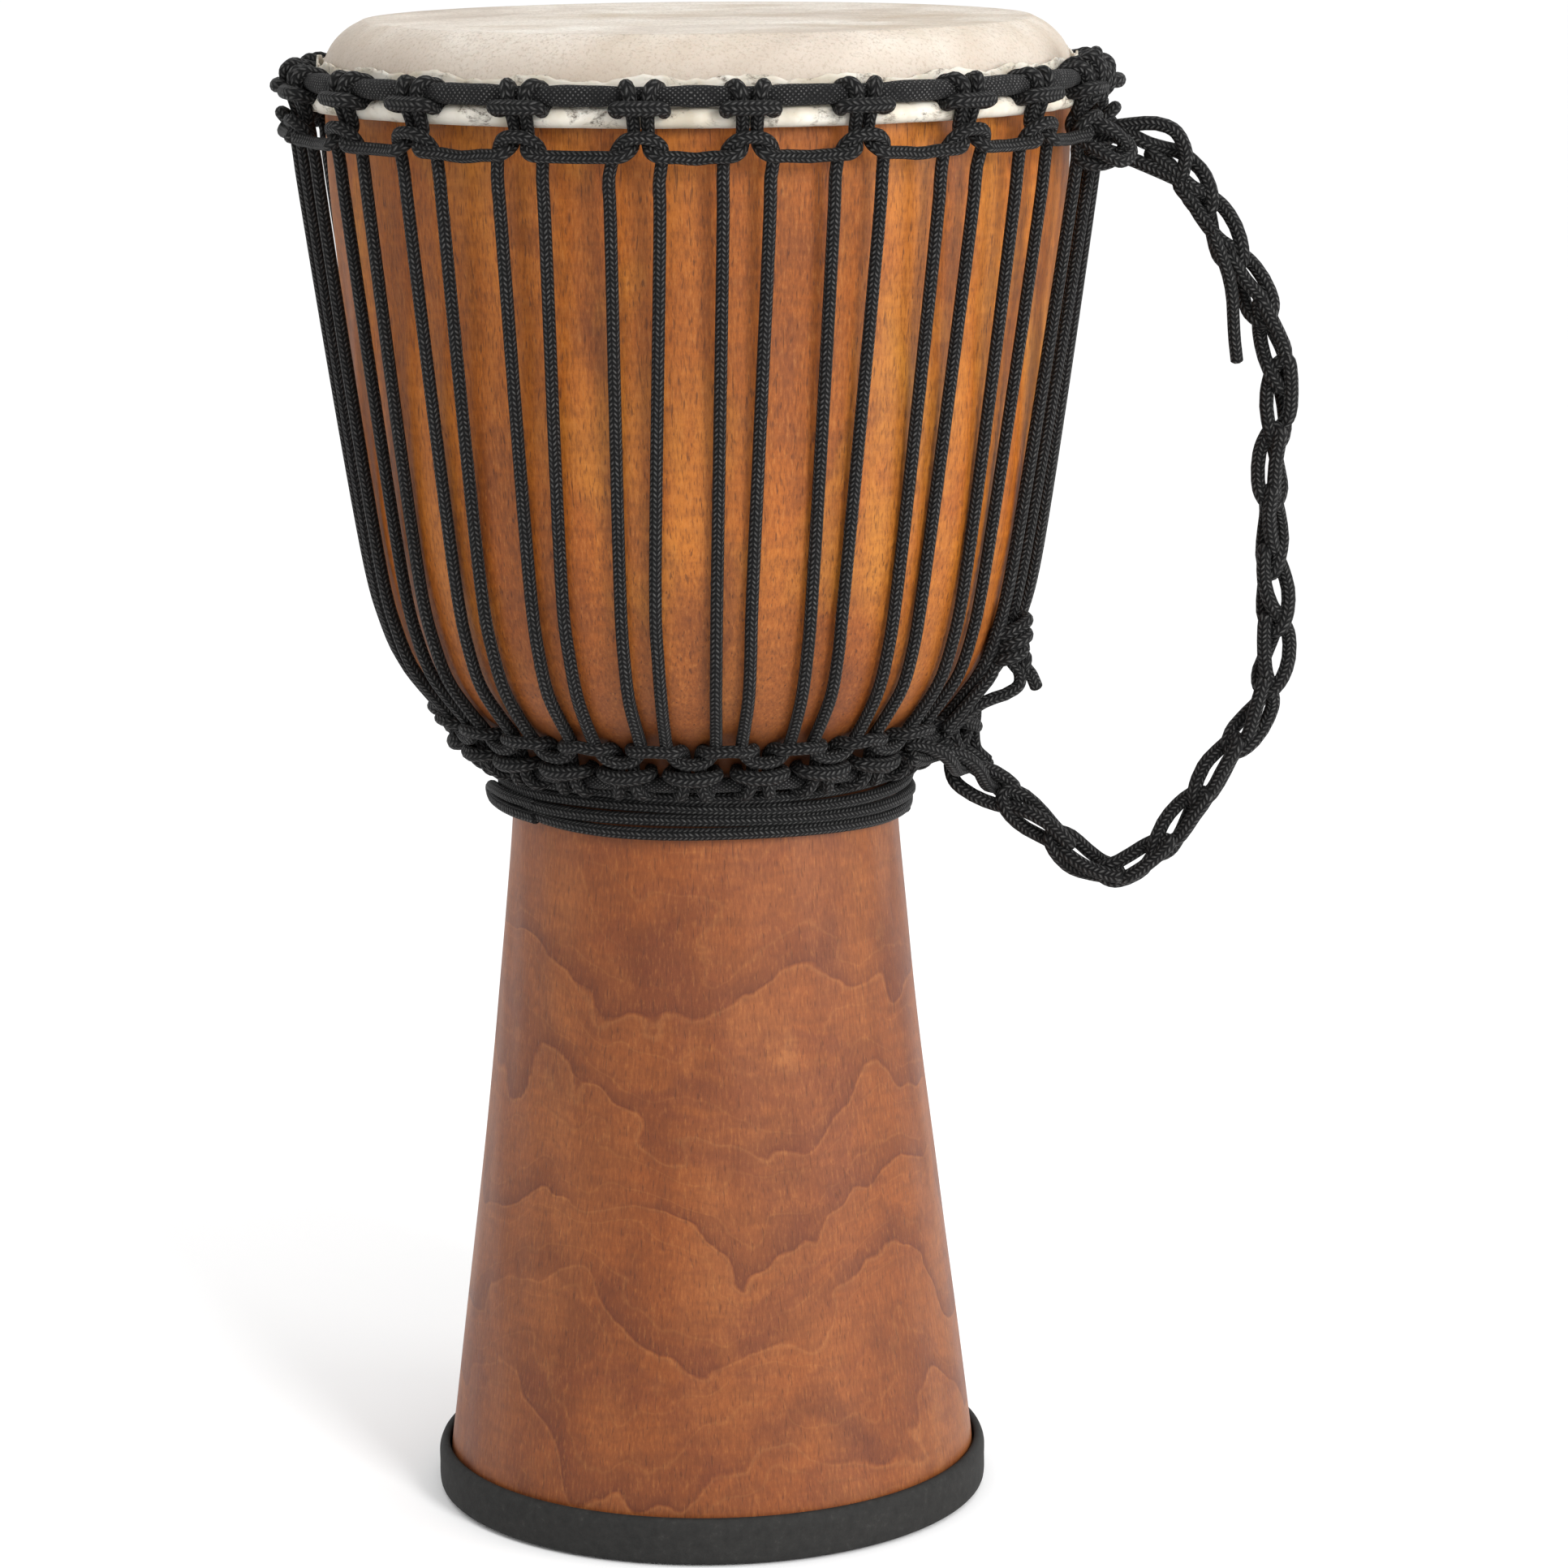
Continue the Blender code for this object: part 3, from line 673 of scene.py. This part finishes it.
def floor_material():
    n = Nodes("studio_floor", 0.9, Specular_IOR_Level=0.1)
    n.shader.inputs["Base Color"].default_value = (0.98, 0.98, 0.98, 1.0)
    return n.material


# ---- shell, skin, rings, foot ----
def carved(deg, r, z):
    """The faint waves that hand carving leaves in a turned shape."""
    a = np.radians(deg)
    wave = 0.00016 * np.sin(5 * a + 9 * z) + 0.00012 * np.sin(11 * a - 31 * z)
    return r + wave + 0.00008 * np.sin(23 * a + 60 * z), z


def build_shell(wood):
    outer = curve_2d(SHELL_OUTER, 0.0028)
    inner = curve_2d(SHELL_INNER, 0.0050)
    rim = curve_2d(BEARING_EDGE, 0.0014)
    mesh = lathe_mesh("shell_carved", rim + outer + inner, SHELL_STEPS, carved)
    place("shell_carved", mesh, wood, DRUM, "shell_wood", ["shell"])


def pinch(deg):
    """1 where a knot of the crown ring presses on the skin, 0 between the knots."""
    near = np.zeros_like(deg)
    for i in range(KNOTS):
        off = (deg - top_deg(i) + 180.0) % 360.0 - 180.0
        near = np.maximum(near, np.exp(-((off / 4.4) ** 4)))
    return near


def ragged(deg):
    """How far the cut edge of the hide stands up: uneven, as a knife leaves it."""
    a = np.radians(deg)
    uneven = 0.5 * np.sin(7 * a + 1.0) + 0.35 * np.sin(17 * a + 2.0) + 0.3 * np.sin(43 * a)
    return 0.0007 * uneven + 0.0003 * np.sin(97 * a + 0.7) + 0.0002 * np.sin(151 * a)


def build_skin(hide):
    """The head, over the rim and down, round the flesh ring, and up inside the crown ring."""
    flat = [(r, 0.60955) for r in np.linspace(0.0015, 0.130, 34)]
    side = [(r - 0.0003, z - 0.00035) for r, z in SKIN_OUTER]
    turns = (200.0, 225.0, 250.0, 275.0, 300.0, 325.0, 350.0, 375.0, 400.0, 425.0, 450.0, 475.0)
    fold = [
        (FLESH_R + FOLD_RADIUS * cos(radians(t)), FLESH_Z + FOLD_RADIUS * sin(radians(t)))
        for t in turns
    ]
    lip = [(0.1531, 0.5850), (0.1524, 0.5875), (0.1520, 0.5900), (0.1517, 0.5920), (0.1516, 0.5938)]
    bend = curve_2d(side + fold + lip, 0.0011)
    profile = flat + bend
    start_lip = len(profile) - LIP_ROWS

    def shift(deg, r, z):
        press = pinch(deg)
        row = np.arange(len(profile))[:, None]
        in_lip = np.clip((row - start_lip) / (LIP_ROWS - 1.0), 0.0, 1.0)
        in_fold = (row > len(flat) + ROWS_TO_FOLD) & (z < 0.5868)
        a = np.radians(deg)
        z = z + in_lip * (ragged(deg) + 0.0019 * press)
        z = z - np.where(in_fold, 0.0011 * press * np.clip((z - 0.5765) / 0.006, 0.0, 1.0), 0.0)
        lump = 0.00035 * np.sin(31 * a) + 0.0003 * np.sin(53 * a + 1.0) + 0.00025 * np.sin(77 * a)
        r = r + np.where(in_fold, lump, 0.0)
        return r, z

    mesh = lathe_mesh("goatskin_head", profile, SKIN_STEPS, shift, closed=False)
    close_middle(mesh, SKIN_STEPS)
    skin = place("goatskin_head", mesh, hide, DRUM, "goatskin", ["drum_skin"])
    solid = skin.modifiers.new("hide", "SOLIDIFY")
    solid.thickness = SKIN_THICK
    solid.offset = 0.0


def close_middle(mesh, steps):
    """Fills the small hole at the middle of the head."""
    work = opened(mesh)
    work.faces.new([work.verts[j] for j in range(steps)])
    bmesh.ops.poke(work, faces=[f for f in work.faces if len(f.verts) > 4])
    bmesh.ops.recalc_face_normals(work, faces=work.faces)
    work.to_mesh(mesh)
    work.free()
    mesh.polygons.foreach_set("use_smooth", np.ones(len(mesh.polygons), bool))


def build_ring_wraps(cloth):
    for name, (r, z), reach, node, slot in (
        ("crown_ring_tape", CROWN, CROWN_WRAP, "crown_ring_wrap", "crown_ring_cloth"),
        ("bottom_ring_tape", BOTTOM, BOTTOM_WRAP, "bottom_ring_wrap", "bottom_ring_cloth"),
    ):
        a, points = circle(r, z, 360)
        lump = 1.0 + 0.018 * np.sin(37 * a) + 0.014 * np.sin(61 * a + 1.0)
        if name == "crown_ring_tape":
            lump += 0.17 * (1.0 - pinch(np.degrees(a)))
        points[:, 3] = lump
        place(name, rope_mesh(name, points, reach, closed=True, sides=20), cloth, DRUM, slot, [node])


def build_foot(rubber):
    profile = [
        (0.1106, FOOT_HEIGHT - 0.0004), (0.1122, FOOT_HEIGHT), (0.1132, FOOT_HEIGHT - 0.0004),
        (FOOT_R - 0.0006, FOOT_HEIGHT - 0.0020), (FOOT_R, FOOT_HEIGHT - 0.0040),
        (FOOT_R, 0.0100), (FOOT_R, 0.0040), (FOOT_R - 0.0005, 0.0016), (FOOT_R - 0.0022, 0.0003),
        (FOOT_R - 0.0040, 0.0), (0.1040, 0.0), (FOOT_FLOOR_R, 0.0002), (FOOT_FLOOR_R, 0.0020),
        (FOOT_FLOOR_R, FOOT_SOLE), (0.1050, FOOT_SOLE), (0.1112, FOOT_SOLE), (0.1117, 0.0048),
        (0.1110, 0.0120),
    ]
    line = smooth_path([(r, 0.0, z) for r, z in profile], closed=True, step=0.0009)
    mesh = lathe_mesh("rubber_foot_ring", [(q[0], q[2]) for q in line], FOOT_STEPS)
    place("rubber_foot_ring", mesh, rubber, DRUM, "foot_rubber", ["rubber_foot"])


# ---- ropes of the drum ----
def hitch(deg, ring, leg, loop, bar):
    """A whole hitch from its left half. The leg and the bar are (s, radius, height) points and the
    loop is (s, turn, reach) points round the ring; the bar's last point is the middle."""

    def half(way, bar_points):
        points = [beside(deg, way * s, *rest) for s, *rest in leg]
        points += [on_ring(ring, deg, way * s, *rest) for s, *rest in loop]
        return points + [beside(deg, way * s, *rest) for s, *rest in bar_points]

    return half(1, bar) + half(-1, bar[:-1])[::-1]


def crown_knot(i):
    """Up through its own bar, round the crown ring, across the front as the bar, and back."""
    leg = [
        (-0.0140, 0.1644, 0.5664), (-0.0100, 0.1652, 0.5664), (-0.0066, 0.1660, 0.5668),
        (-0.0042, 0.1652, 0.5682), (-0.0028, 0.1622, 0.5706), (-0.0027, 0.1606, 0.5740),
        (-0.0027, 0.1616, 0.5785), (-0.0030, 0.1634, 0.5828, 1.02),
    ]
    loop = [
        (-0.0039, 20.0, 0.0053, 1.12), (-0.0052, 58.0, 0.0044, 1.16), (-0.0060, 95.0, 0.0031, 1.12),
        (-0.0066, 142.0, 0.0044), (-0.0072, 186.0, 0.0055, 0.95), (-0.0080, 235.0, 0.0057, 0.95),
        (-0.0085, 282.0, 0.0060),
    ]
    bar = [
        (-0.0093, 0.1636, 0.5832), (-0.0089, 0.1664, 0.5844, 1.05), (-0.0056, 0.1681, 0.5846, 1.14),
        (0.0, 0.1684, 0.5846, 1.14),
    ]
    return hitch(top_deg(i), CROWN, leg, loop, bar)


def bottom_knot(i):
    """The crown knot turned over: down through its bar and round the bottom ring."""
    leg = [
        (-0.0108, 0.1104, 0.3316), (-0.0068, 0.1088, 0.3314), (-0.0040, 0.1034, 0.3312),
        (-0.0031, 0.0990, 0.3278), (-0.0031, 0.0976, 0.3228),
    ]
    loop = [
        (-0.0036, -8.0, 0.0056), (-0.0048, -50.0, 0.0048), (-0.0057, -95.0, 0.0042),
        (-0.0062, -140.0, 0.0044), (-0.0066, -185.0, 0.0044), (-0.0072, -235.0, 0.0052),
        (-0.0078, -275.0, 0.0062),
    ]
    bar = [
        (-0.0096, 0.0966, 0.3206), (-0.0090, 0.1002, 0.3202, 1.05), (-0.0050, 0.1028, 0.3196, 1.18),
        (0.0, 0.1034, 0.3192, 1.18),
    ]
    return hitch(bottom_deg(i), BOTTOM, leg, loop, bar)


def after(i, azimuth):
    """The azimuth halfway from knot i to the next one."""
    whole_turn = 360.0 if i == KNOTS - 1 else 0.0
    return (azimuth(i) + azimuth((i + 1) % KNOTS) + whole_turn) / 2


def build_cradles(braid, rng):
    points = []
    for i in range(KNOTS):
        points += crown_knot(i)
        points.append(round_point(after(i, top_deg), 0.1638, 0.5660 - rng.uniform(-0.0005, 0.0007)))
    lay_rope("top_cradle", points, ROPE, braid, DRUM, "top_cradle_cord", ["top_cradle_rope"],
             closed=True)
    points = []
    for i in range(KNOTS):
        points += bottom_knot(i)
        points.append(round_point(after(i, bottom_deg), 0.1112, 0.3320 + rng.uniform(-0.0006, 0.0006)))
    lay_rope("bottom_cradle", points, ROPE, braid, DRUM, "bottom_cradle_cord", ["bottom_cradle_rope"],
             closed=True)


def arch(side, middle):
    """One side's (deg, s, radius, height) points on the left, the middle, and back on the right."""
    left = [beside(deg, -s, r, z) for deg, s, r, z in side]
    return left + [middle] + [beside(deg, s, r, z) for deg, s, r, z in side[::-1]]


def top_arch(i, rng):
    """Up, over the links of the crown cradle, and down again."""
    deg, spread = upright_deg(i), rng.uniform(-0.0004, 0.0004)
    knot = top_deg(i)
    if i == TIED_PAIR:
        deg, spread = deg + TIED_SHIFT_DEG, TIED_SPREAD
    near = (deg + knot) / 2
    out = [
        (deg, 0.0091 + spread, 0.1588, 0.5480), (deg, 0.0092 + spread, 0.1600, 0.5580),
        (near, 0.0093, 0.1611, 0.5650), (knot, 0.0080, 0.1636, 0.5702), (knot, 0.0045, 0.1664, 0.5732),
    ]
    return arch(out, round_point(knot, 0.1670, 0.5738))


def bottom_arch(i):
    deg = bottom_deg(i)
    out = [
        (0.0117, 0.1350, 0.3883), (0.0112, 0.1307, 0.3715), (0.0106, 0.1241, 0.3546),
        (0.0100, 0.1130, 0.3396), (0.0092, 0.1064, 0.3318), (0.0058, 0.1050, 0.3272),
    ]
    return arch([(deg, *q) for q in out], round_point(deg, 0.1050, 0.3258))


def build_tension_rope(braid, rng):
    """One rope laced from ring to ring, starting and ending under the pull knot."""
    first = TIED_PAIR + 1
    points = bottom_arch(first - 1)[-5:]
    for k in range(KNOTS):
        i = (first + k) % KNOTS
        points += top_arch(i, rng)
        points += bottom_arch(i)
    lay_rope("tension_rope_laced", points[:-5], ROPE, braid, DRUM, "tension_cord", ["tension_rope"])


def build_waist(braid):
    """The spare rope wound round the neck, lowest at the back, not quite even."""
    points, per_turn = [], 30
    for k in range(WAIST_TURNS * per_turn + 4):
        turn = k / per_turn
        deg = 98.0 + 360.0 * turn
        a = radians(deg)
        left = max(0.0, -sin(a)) ** 3
        z = 0.2876 + 0.0052 * turn * (1.0 - 0.3 * left) + 0.0046 * left
        z += 0.0026 * cos(a + 0.8) + 0.0007 * sin(3 * a + turn)
        r = TURNS_R - 0.0006 + 0.0005 * sin(2 * a + 2.1 * turn)
        bulge = max(0.0, sin(a - 0.15)) ** 6
        points.append(round_point(deg, r + 0.0012 * bulge * (1.0 if int(turn) % 2 else 0.4), z))
    lay_rope("waist_wound", points, ROPE, braid, DRUM, "waist_cord", ["waist_winding"], most=0.004)
    side = [
        (-54.0, 0.0838, 0.2996), (-66.0, 0.0856, 0.2998), (-78.0, 0.0868, 0.2996),
        (-86.0, 0.0876, 0.2986), (-89.0, 0.0880, 0.2970), (-86.0, 0.0876, 0.2954),
        (-77.0, 0.0866, 0.2946), (-64.0, 0.0852, 0.2942), (-54.0, 0.0838, 0.2938),
    ]
    lay_rope("waist_bight", [round_point(*q) for q in side], ROPE, braid, DRUM, "waist_cord")


# ---- knots and handle ----
def along_handle(route, side=0.0):
    a = radians(HANDLE_DEG)
    return [(x * sin(a) + side * cos(a), -x * cos(a) + side * sin(a), z) for x, z in route]


def build_pull_knot(braid):
    """Where the tension rope is made fast: turns drawn round an upright, a stub, and a loop."""
    deg, low, r = PULL_DEG, 0.3548, 0.1330
    cx, cy, _, _ = round_point(deg, r, 0.0)
    points = [beside(deg, 0.0105, 0.1405, 0.3452), beside(deg, 0.0080, 0.1392, 0.3500)]
    points.append(beside(deg, 0.0050, 0.1375, 0.3538))
    per_turn = 12
    for k in range(int(3.4 * per_turn)):
        t = radians(deg) - pi / 2 + 0.5 + 2 * pi * k / per_turn
        reach = 0.0060 + 0.0009 * sin(1.7 * t)
        lift = 0.0052 * k / per_turn + 0.0016 * sin(t + 1.0)
        points.append((cx + reach * cos(t), cy + reach * sin(t), low + 0.0012 + lift))
    top = points[-1]
    points += [
        (top[0] * 0.985, top[1] * 0.985, top[2] + 0.0004), beside(deg, -0.0030, 0.1295, 0.3690),
    ]
    knot, line = lay_rope("pull_knot_tied", points, PULL_ROPE, braid, DRUM, "pull_cord", ["pull_knot"])
    tuple(line[-1][:3])
    end_to_end(line)
    loop = [
        (0.0010, 0.1330, 0.3560), (0.0036, 0.1356, 0.3512), (0.0034, 0.1354, 0.3464),
        (0.0000, 0.1312, 0.3430), (-0.0040, 0.1250, 0.3408), (-0.0075, 0.1195, 0.3372),
        (-0.0085, 0.1140, 0.3320), (-0.0080, 0.1080, 0.3262),
    ]
    lead = [
        (-0.0040, 0.1290, 0.3600), (-0.0062, 0.1275, 0.3520), (-0.0090, 0.1230, 0.3450),
        (-0.0115, 0.1170, 0.3370), (-0.0120, 0.1110, 0.3300),
    ]
    for name, route in (("pull_knot_loop", loop), ("pull_knot_lead", lead)):
        lay_rope(name, [beside(deg, *q) for q in route], 0.00255, braid, DRUM, "pull_cord")


def build_top_tie(braid):
    """A fist of rope round the crown ring: side-by-side turns below, a woven knot over them."""
    deg = TOP_TIE_DEG
    turns = []
    for k, s in enumerate((-0.0090, -0.0036, 0.0018, 0.0072)):
        sweep = (-70.0, -30.0, 15.0, 60.0, 105.0, 148.0)
        part = [on_ring(CROWN, deg, s + 0.0002 * t / 30.0, t, 0.0056) for t in sweep]
        turns += part if k % 2 == 0 else part[::-1]
    wound, _ = lay_rope("top_tie_turns", turns, 0.0026, braid, DRUM, "top_tie_cord",
                        ["handle_top_tie"])
    woven = []
    for k in range(60):
        t = 2 * pi * k / 60
        reach = 0.0078 + 0.0018 * cos(7 * t + 0.4)
        turn = 2.0 + 64.0 * cos(3 * t + 0.3)
        woven.append(on_ring(CROWN, deg, 0.0072 * cos(2 * t + 0.9), turn, reach))
    fist, _ = lay_rope("top_tie_knot", woven, TIE_ROPE, braid, DRUM, "top_tie_cord", closed=True)
    low = [
        (-0.0040, 0.1640, 0.5800), (-0.0085, 0.1602, 0.5752), (-0.0100, 0.1580, 0.5700),
        (-0.0112, 0.1605, 0.5660), (-0.0120, 0.1660, 0.5626), (-0.0116, 0.1718, 0.5592),
        (-0.0080, 0.1772, 0.5562), (-0.0020, 0.1796, 0.5586), (0.0030, 0.1768, 0.5626),
        (0.0030, 0.1710, 0.5650), (-0.0020, 0.1645, 0.5640), (-0.0070, 0.1596, 0.5612),
        (-0.0095, 0.1612, 0.5568), (-0.0085, 0.1670, 0.5548), (-0.0040, 0.1728, 0.5562),
        (-0.0010, 0.1765, 0.5614), (-0.0050, 0.1748, 0.5668), (-0.0090, 0.1696, 0.5704),
        (-0.0070, 0.1640, 0.5722), (0.0000, 0.1606, 0.5700), (0.0050, 0.1626, 0.5660),
        (0.0080, 0.1690, 0.5640),
    ]
    low = [beside(deg, *q) for q in low]
    lower, _ = lay_rope("top_tie_lower", low, TIE_ROPE, braid, DRUM, "top_tie_cord")
    return [wound, fist, lower]


def build_low_tie(braid):
    """The handle's lower end, knotted into the bottom cradle."""
    points = [
        (0.0030, 0.1165, 0.3075), (-0.0030, 0.1115, 0.3120), (-0.0060, 0.1075, 0.3165),
        (-0.0035, 0.1085, 0.3220), (0.0020, 0.1100, 0.3262), (0.0060, 0.1075, 0.3300),
        (0.0040, 0.1045, 0.3330), (-0.0020, 0.1070, 0.3320), (-0.0120, 0.1075, 0.3282),
        (-0.0020, 0.1120, 0.3245), (0.0045, 0.1108, 0.3220), (0.0080, 0.1068, 0.3190),
        (0.0050, 0.1040, 0.3160), (-0.0010, 0.1060, 0.3150), (-0.0125, 0.1062, 0.3182),
        (-0.0150, 0.1052, 0.3235), (-0.0125, 0.1045, 0.3300), (-0.0020, 0.1098, 0.3345),
        (0.0040, 0.1110, 0.3320), (0.0075, 0.1110, 0.3270), (0.0040, 0.1105, 0.3200),
        (0.0000, 0.1120, 0.3140), (0.0020, 0.1160, 0.3095),
    ]
    points = [beside(LOW_TIE_DEG, *q) for q in points]
    knot, _ = lay_rope("low_tie_knotted", points, TIE_ROPE, braid, DRUM, "bottom_tie_cord",
                       ["handle_bottom_tie"])
    lead, _ = lay_rope("low_tie_lead", twisted_pair(), CHAIN_ROPE, braid, DRUM, "bottom_tie_cord")
    return [knot, lead]


def twisted_pair():
    """The chain's rope where it leaves the bottom cradle: two strands laid round each other."""
    middle = [
        (53.0, 0.1041, 0.3224), (62.0, 0.1080, 0.3184), (69.0, 0.1108, 0.3132), (75.0, 0.1136, 0.3086),
        (80.0, 0.1186, 0.3030), (83.0, 0.1240, 0.2992),
    ]
    middle = smooth_path([round_point(*q) for q in middle], step=0.004)
    tangent, normal = carried_normals(middle, False)
    turn = np.linspace(0.9, 0.9 + 2.6 * pi, len(middle))[:, None]
    apart = STRANDS_APART * (np.cos(turn) * normal + np.sin(turn) * np.cross(tangent, normal))
    tip = middle[-1, :3] + 1.5 * STRANDS_APART * tangent[-1]
    return np.vstack([middle[:, :3] + apart, tip[None], (middle[:, :3] - apart)[::-1]])


# One stitch of the chain as (stitches along, half-widths across, half-depths out) points.
STITCH = [
    (0.05, 0.05, -1.00), (0.50, 0.00, -1.20), (0.90, -0.30, -0.85), (1.12, -0.42, 0.20),
    (1.38, -0.62, 1.05), (1.75, -0.98, 0.75), (2.08, -0.92, 0.10), (2.27, -0.45, -0.12),
    (2.32, 0.05, -0.15), (2.25, 0.52, -0.10), (2.06, 0.96, 0.10), (1.74, 1.00, 0.75),
    (1.38, 0.64, 1.05), (1.12, 0.44, 0.20),
]


def chain_points(route, rng):
    """A crochet-like chain of one rope along the route: each loop is drawn through the last."""
    line = smooth_path(route, step=0.001)
    tangent, _ = carried_normals(line, False)
    along = lengths(line)
    a = radians(HANDLE_DEG)
    face = np.array([cos(a), sin(a), 0.0])
    count = round(along[-1] / CHAIN_STITCH - 1.3)
    pitch = along[-1] / (count + 1.3)
    widths = rng.uniform(0.82, 1.22, count)
    pitches = rng.uniform(-0.10, 0.10, count)
    tilts = rng.uniform(-0.35, 0.35, count)
    points = []
    for i in range(count):
        wide = CHAIN_HALF_WIDTH * widths[i]
        for x, y, z in STITCH:
            s = min(max((i + x + pitches[i]) * pitch, 0.0), along[-1] - 0.0005)
            at = int(s / along[-1] * (len(line) - 1))
            t = tangent[at]
            across = np.cross(face, t)
            across /= np.linalg.norm(across)
            out = np.cross(t, across)
            spin = 0.75 * sin(0.9 * i + 0.6 * x) + tilts[i]
            side = cos(spin) * across + sin(spin) * out
            deep = -sin(spin) * across + cos(spin) * out
            points.append(tuple(line[at][:3] + y * wide * side + z * CHAIN_HALF_DEPTH * deep))
    return points


def build_handle(braid, rng):
    """The chain, the loose loop where it leaves the top tie, and the rope's melted end."""
    lead = [(0.1575, 0.5672), (0.1655, 0.5672), (0.1735, 0.5640)]
    finish = [(0.1150, 0.3005), (0.1070, 0.3045), (0.1010, 0.3090)]
    points = chain_points(along_handle(lead + HANDLE_ROUTE + finish), rng)
    chain, line = lay_rope("handle_chain", points, CHAIN_ROPE, braid, HANDLE, "handle_cord",
                           ["carry_handle"])
    loop = along_handle(TOP_LOOP, LOOP_SIDE)
    slack, _ = lay_rope("handle_top_loop", loop, CHAIN_ROPE, braid, HANDLE, "handle_cord")
    tuple(line[0][:3])
    end_to_end(line)
    hanging = along_handle(TAIL_ROUTE, TAIL_SIDE)
    end, tail = lay_rope("handle_tail_end", hanging, TAIL_ROPE, braid, HANDLE, "tail_cord",
                         ["handle_tail"])
    tuple(tail[0][:3])
    end_to_end(tail)


def finish_hidden_rings():
    steel = steel_material()
    _, points = circle(BOTTOM_R, BOTTOM_Z, 240)
    mesh = rope_mesh("bottom_ring_rod", points, BOTTOM_ROD, closed=True, sides=16)
    place("bottom_ring_rod", mesh, steel, DRUM, "bottom_ring_steel", ["bottom_ring"])
    for node in ("crown_ring", "flesh_ring"):
        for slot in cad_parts[node].material_slots:
            slot.material = steel


# ---- studio ----
def build_camera():
    data = bpy.data.cameras.new("camera")
    data.sensor_width = 36.0
    data.lens = CAMERA_LENS
    camera = bpy.data.objects.new("camera", data)
    turn = Matrix.Rotation(pi / 2 - CAMERA_PITCH, 4, "X") @ Matrix.Rotation(CAMERA_ROLL, 4, "Z")
    camera.matrix_world = Matrix.Translation(CAMERA_PLACE) @ turn
    bpy.context.scene.collection.objects.link(camera)
    bpy.context.scene.camera = camera


def build_light(name, place, target, size, power):
    data = bpy.data.lights.new(name, "AREA")
    data.shape = "RECTANGLE"
    data.size, data.size_y = size
    data.energy = power
    lamp = bpy.data.objects.new(name, data)
    lamp.location = place
    lamp.rotation_euler = (Vector(target) - Vector(place)).to_track_quat("-Z", "Y").to_euler()
    bpy.context.scene.collection.objects.link(lamp)


def build_studio():
    mesh = bpy.data.meshes.new("studio_floor")
    corners = [(-1, -1), (1, -1), (1, 1), (-1, 1)]
    mesh.from_pydata([(FLOOR_HALF * x, FLOOR_HALF * y, 0.0) for x, y in corners], [], [(0, 1, 2, 3)])
    floor = bpy.data.objects.new("studio_floor", mesh)
    mesh.materials.append(floor_material())
    bpy.context.scene.collection.objects.link(floor)
    floor.location.z = -FLOOR_DROP
    world = bpy.data.worlds.new("studio")
    world.use_nodes = True
    background = world.node_tree.nodes["Background"].inputs
    background["Color"].default_value = (1.0, 1.0, 1.0, 1.0)
    background["Strength"].default_value = WORLD_STRENGTH
    bpy.context.scene.world = world
    for light in LIGHTS:
        build_light(*light)
    bpy.context.scene.view_settings.view_transform = "Standard"


def main():
    rng = np.random.default_rng(SEED)
    braid, cloth = braid_material(), cloth_material()
    build_camera()
    build_studio()
    ties = build_top_tie(braid) + build_low_tie(braid)
    build_handle(braid, rng)
    build_pull_knot(braid)
    build_cradles(braid, rng)
    build_tension_rope(braid, rng)
    build_waist(braid)
    build_ring_wraps(cloth)
    build_shell(wood_material())
    build_skin(skin_material())
    build_foot(rubber_material())
    finish_hidden_rings()


main()
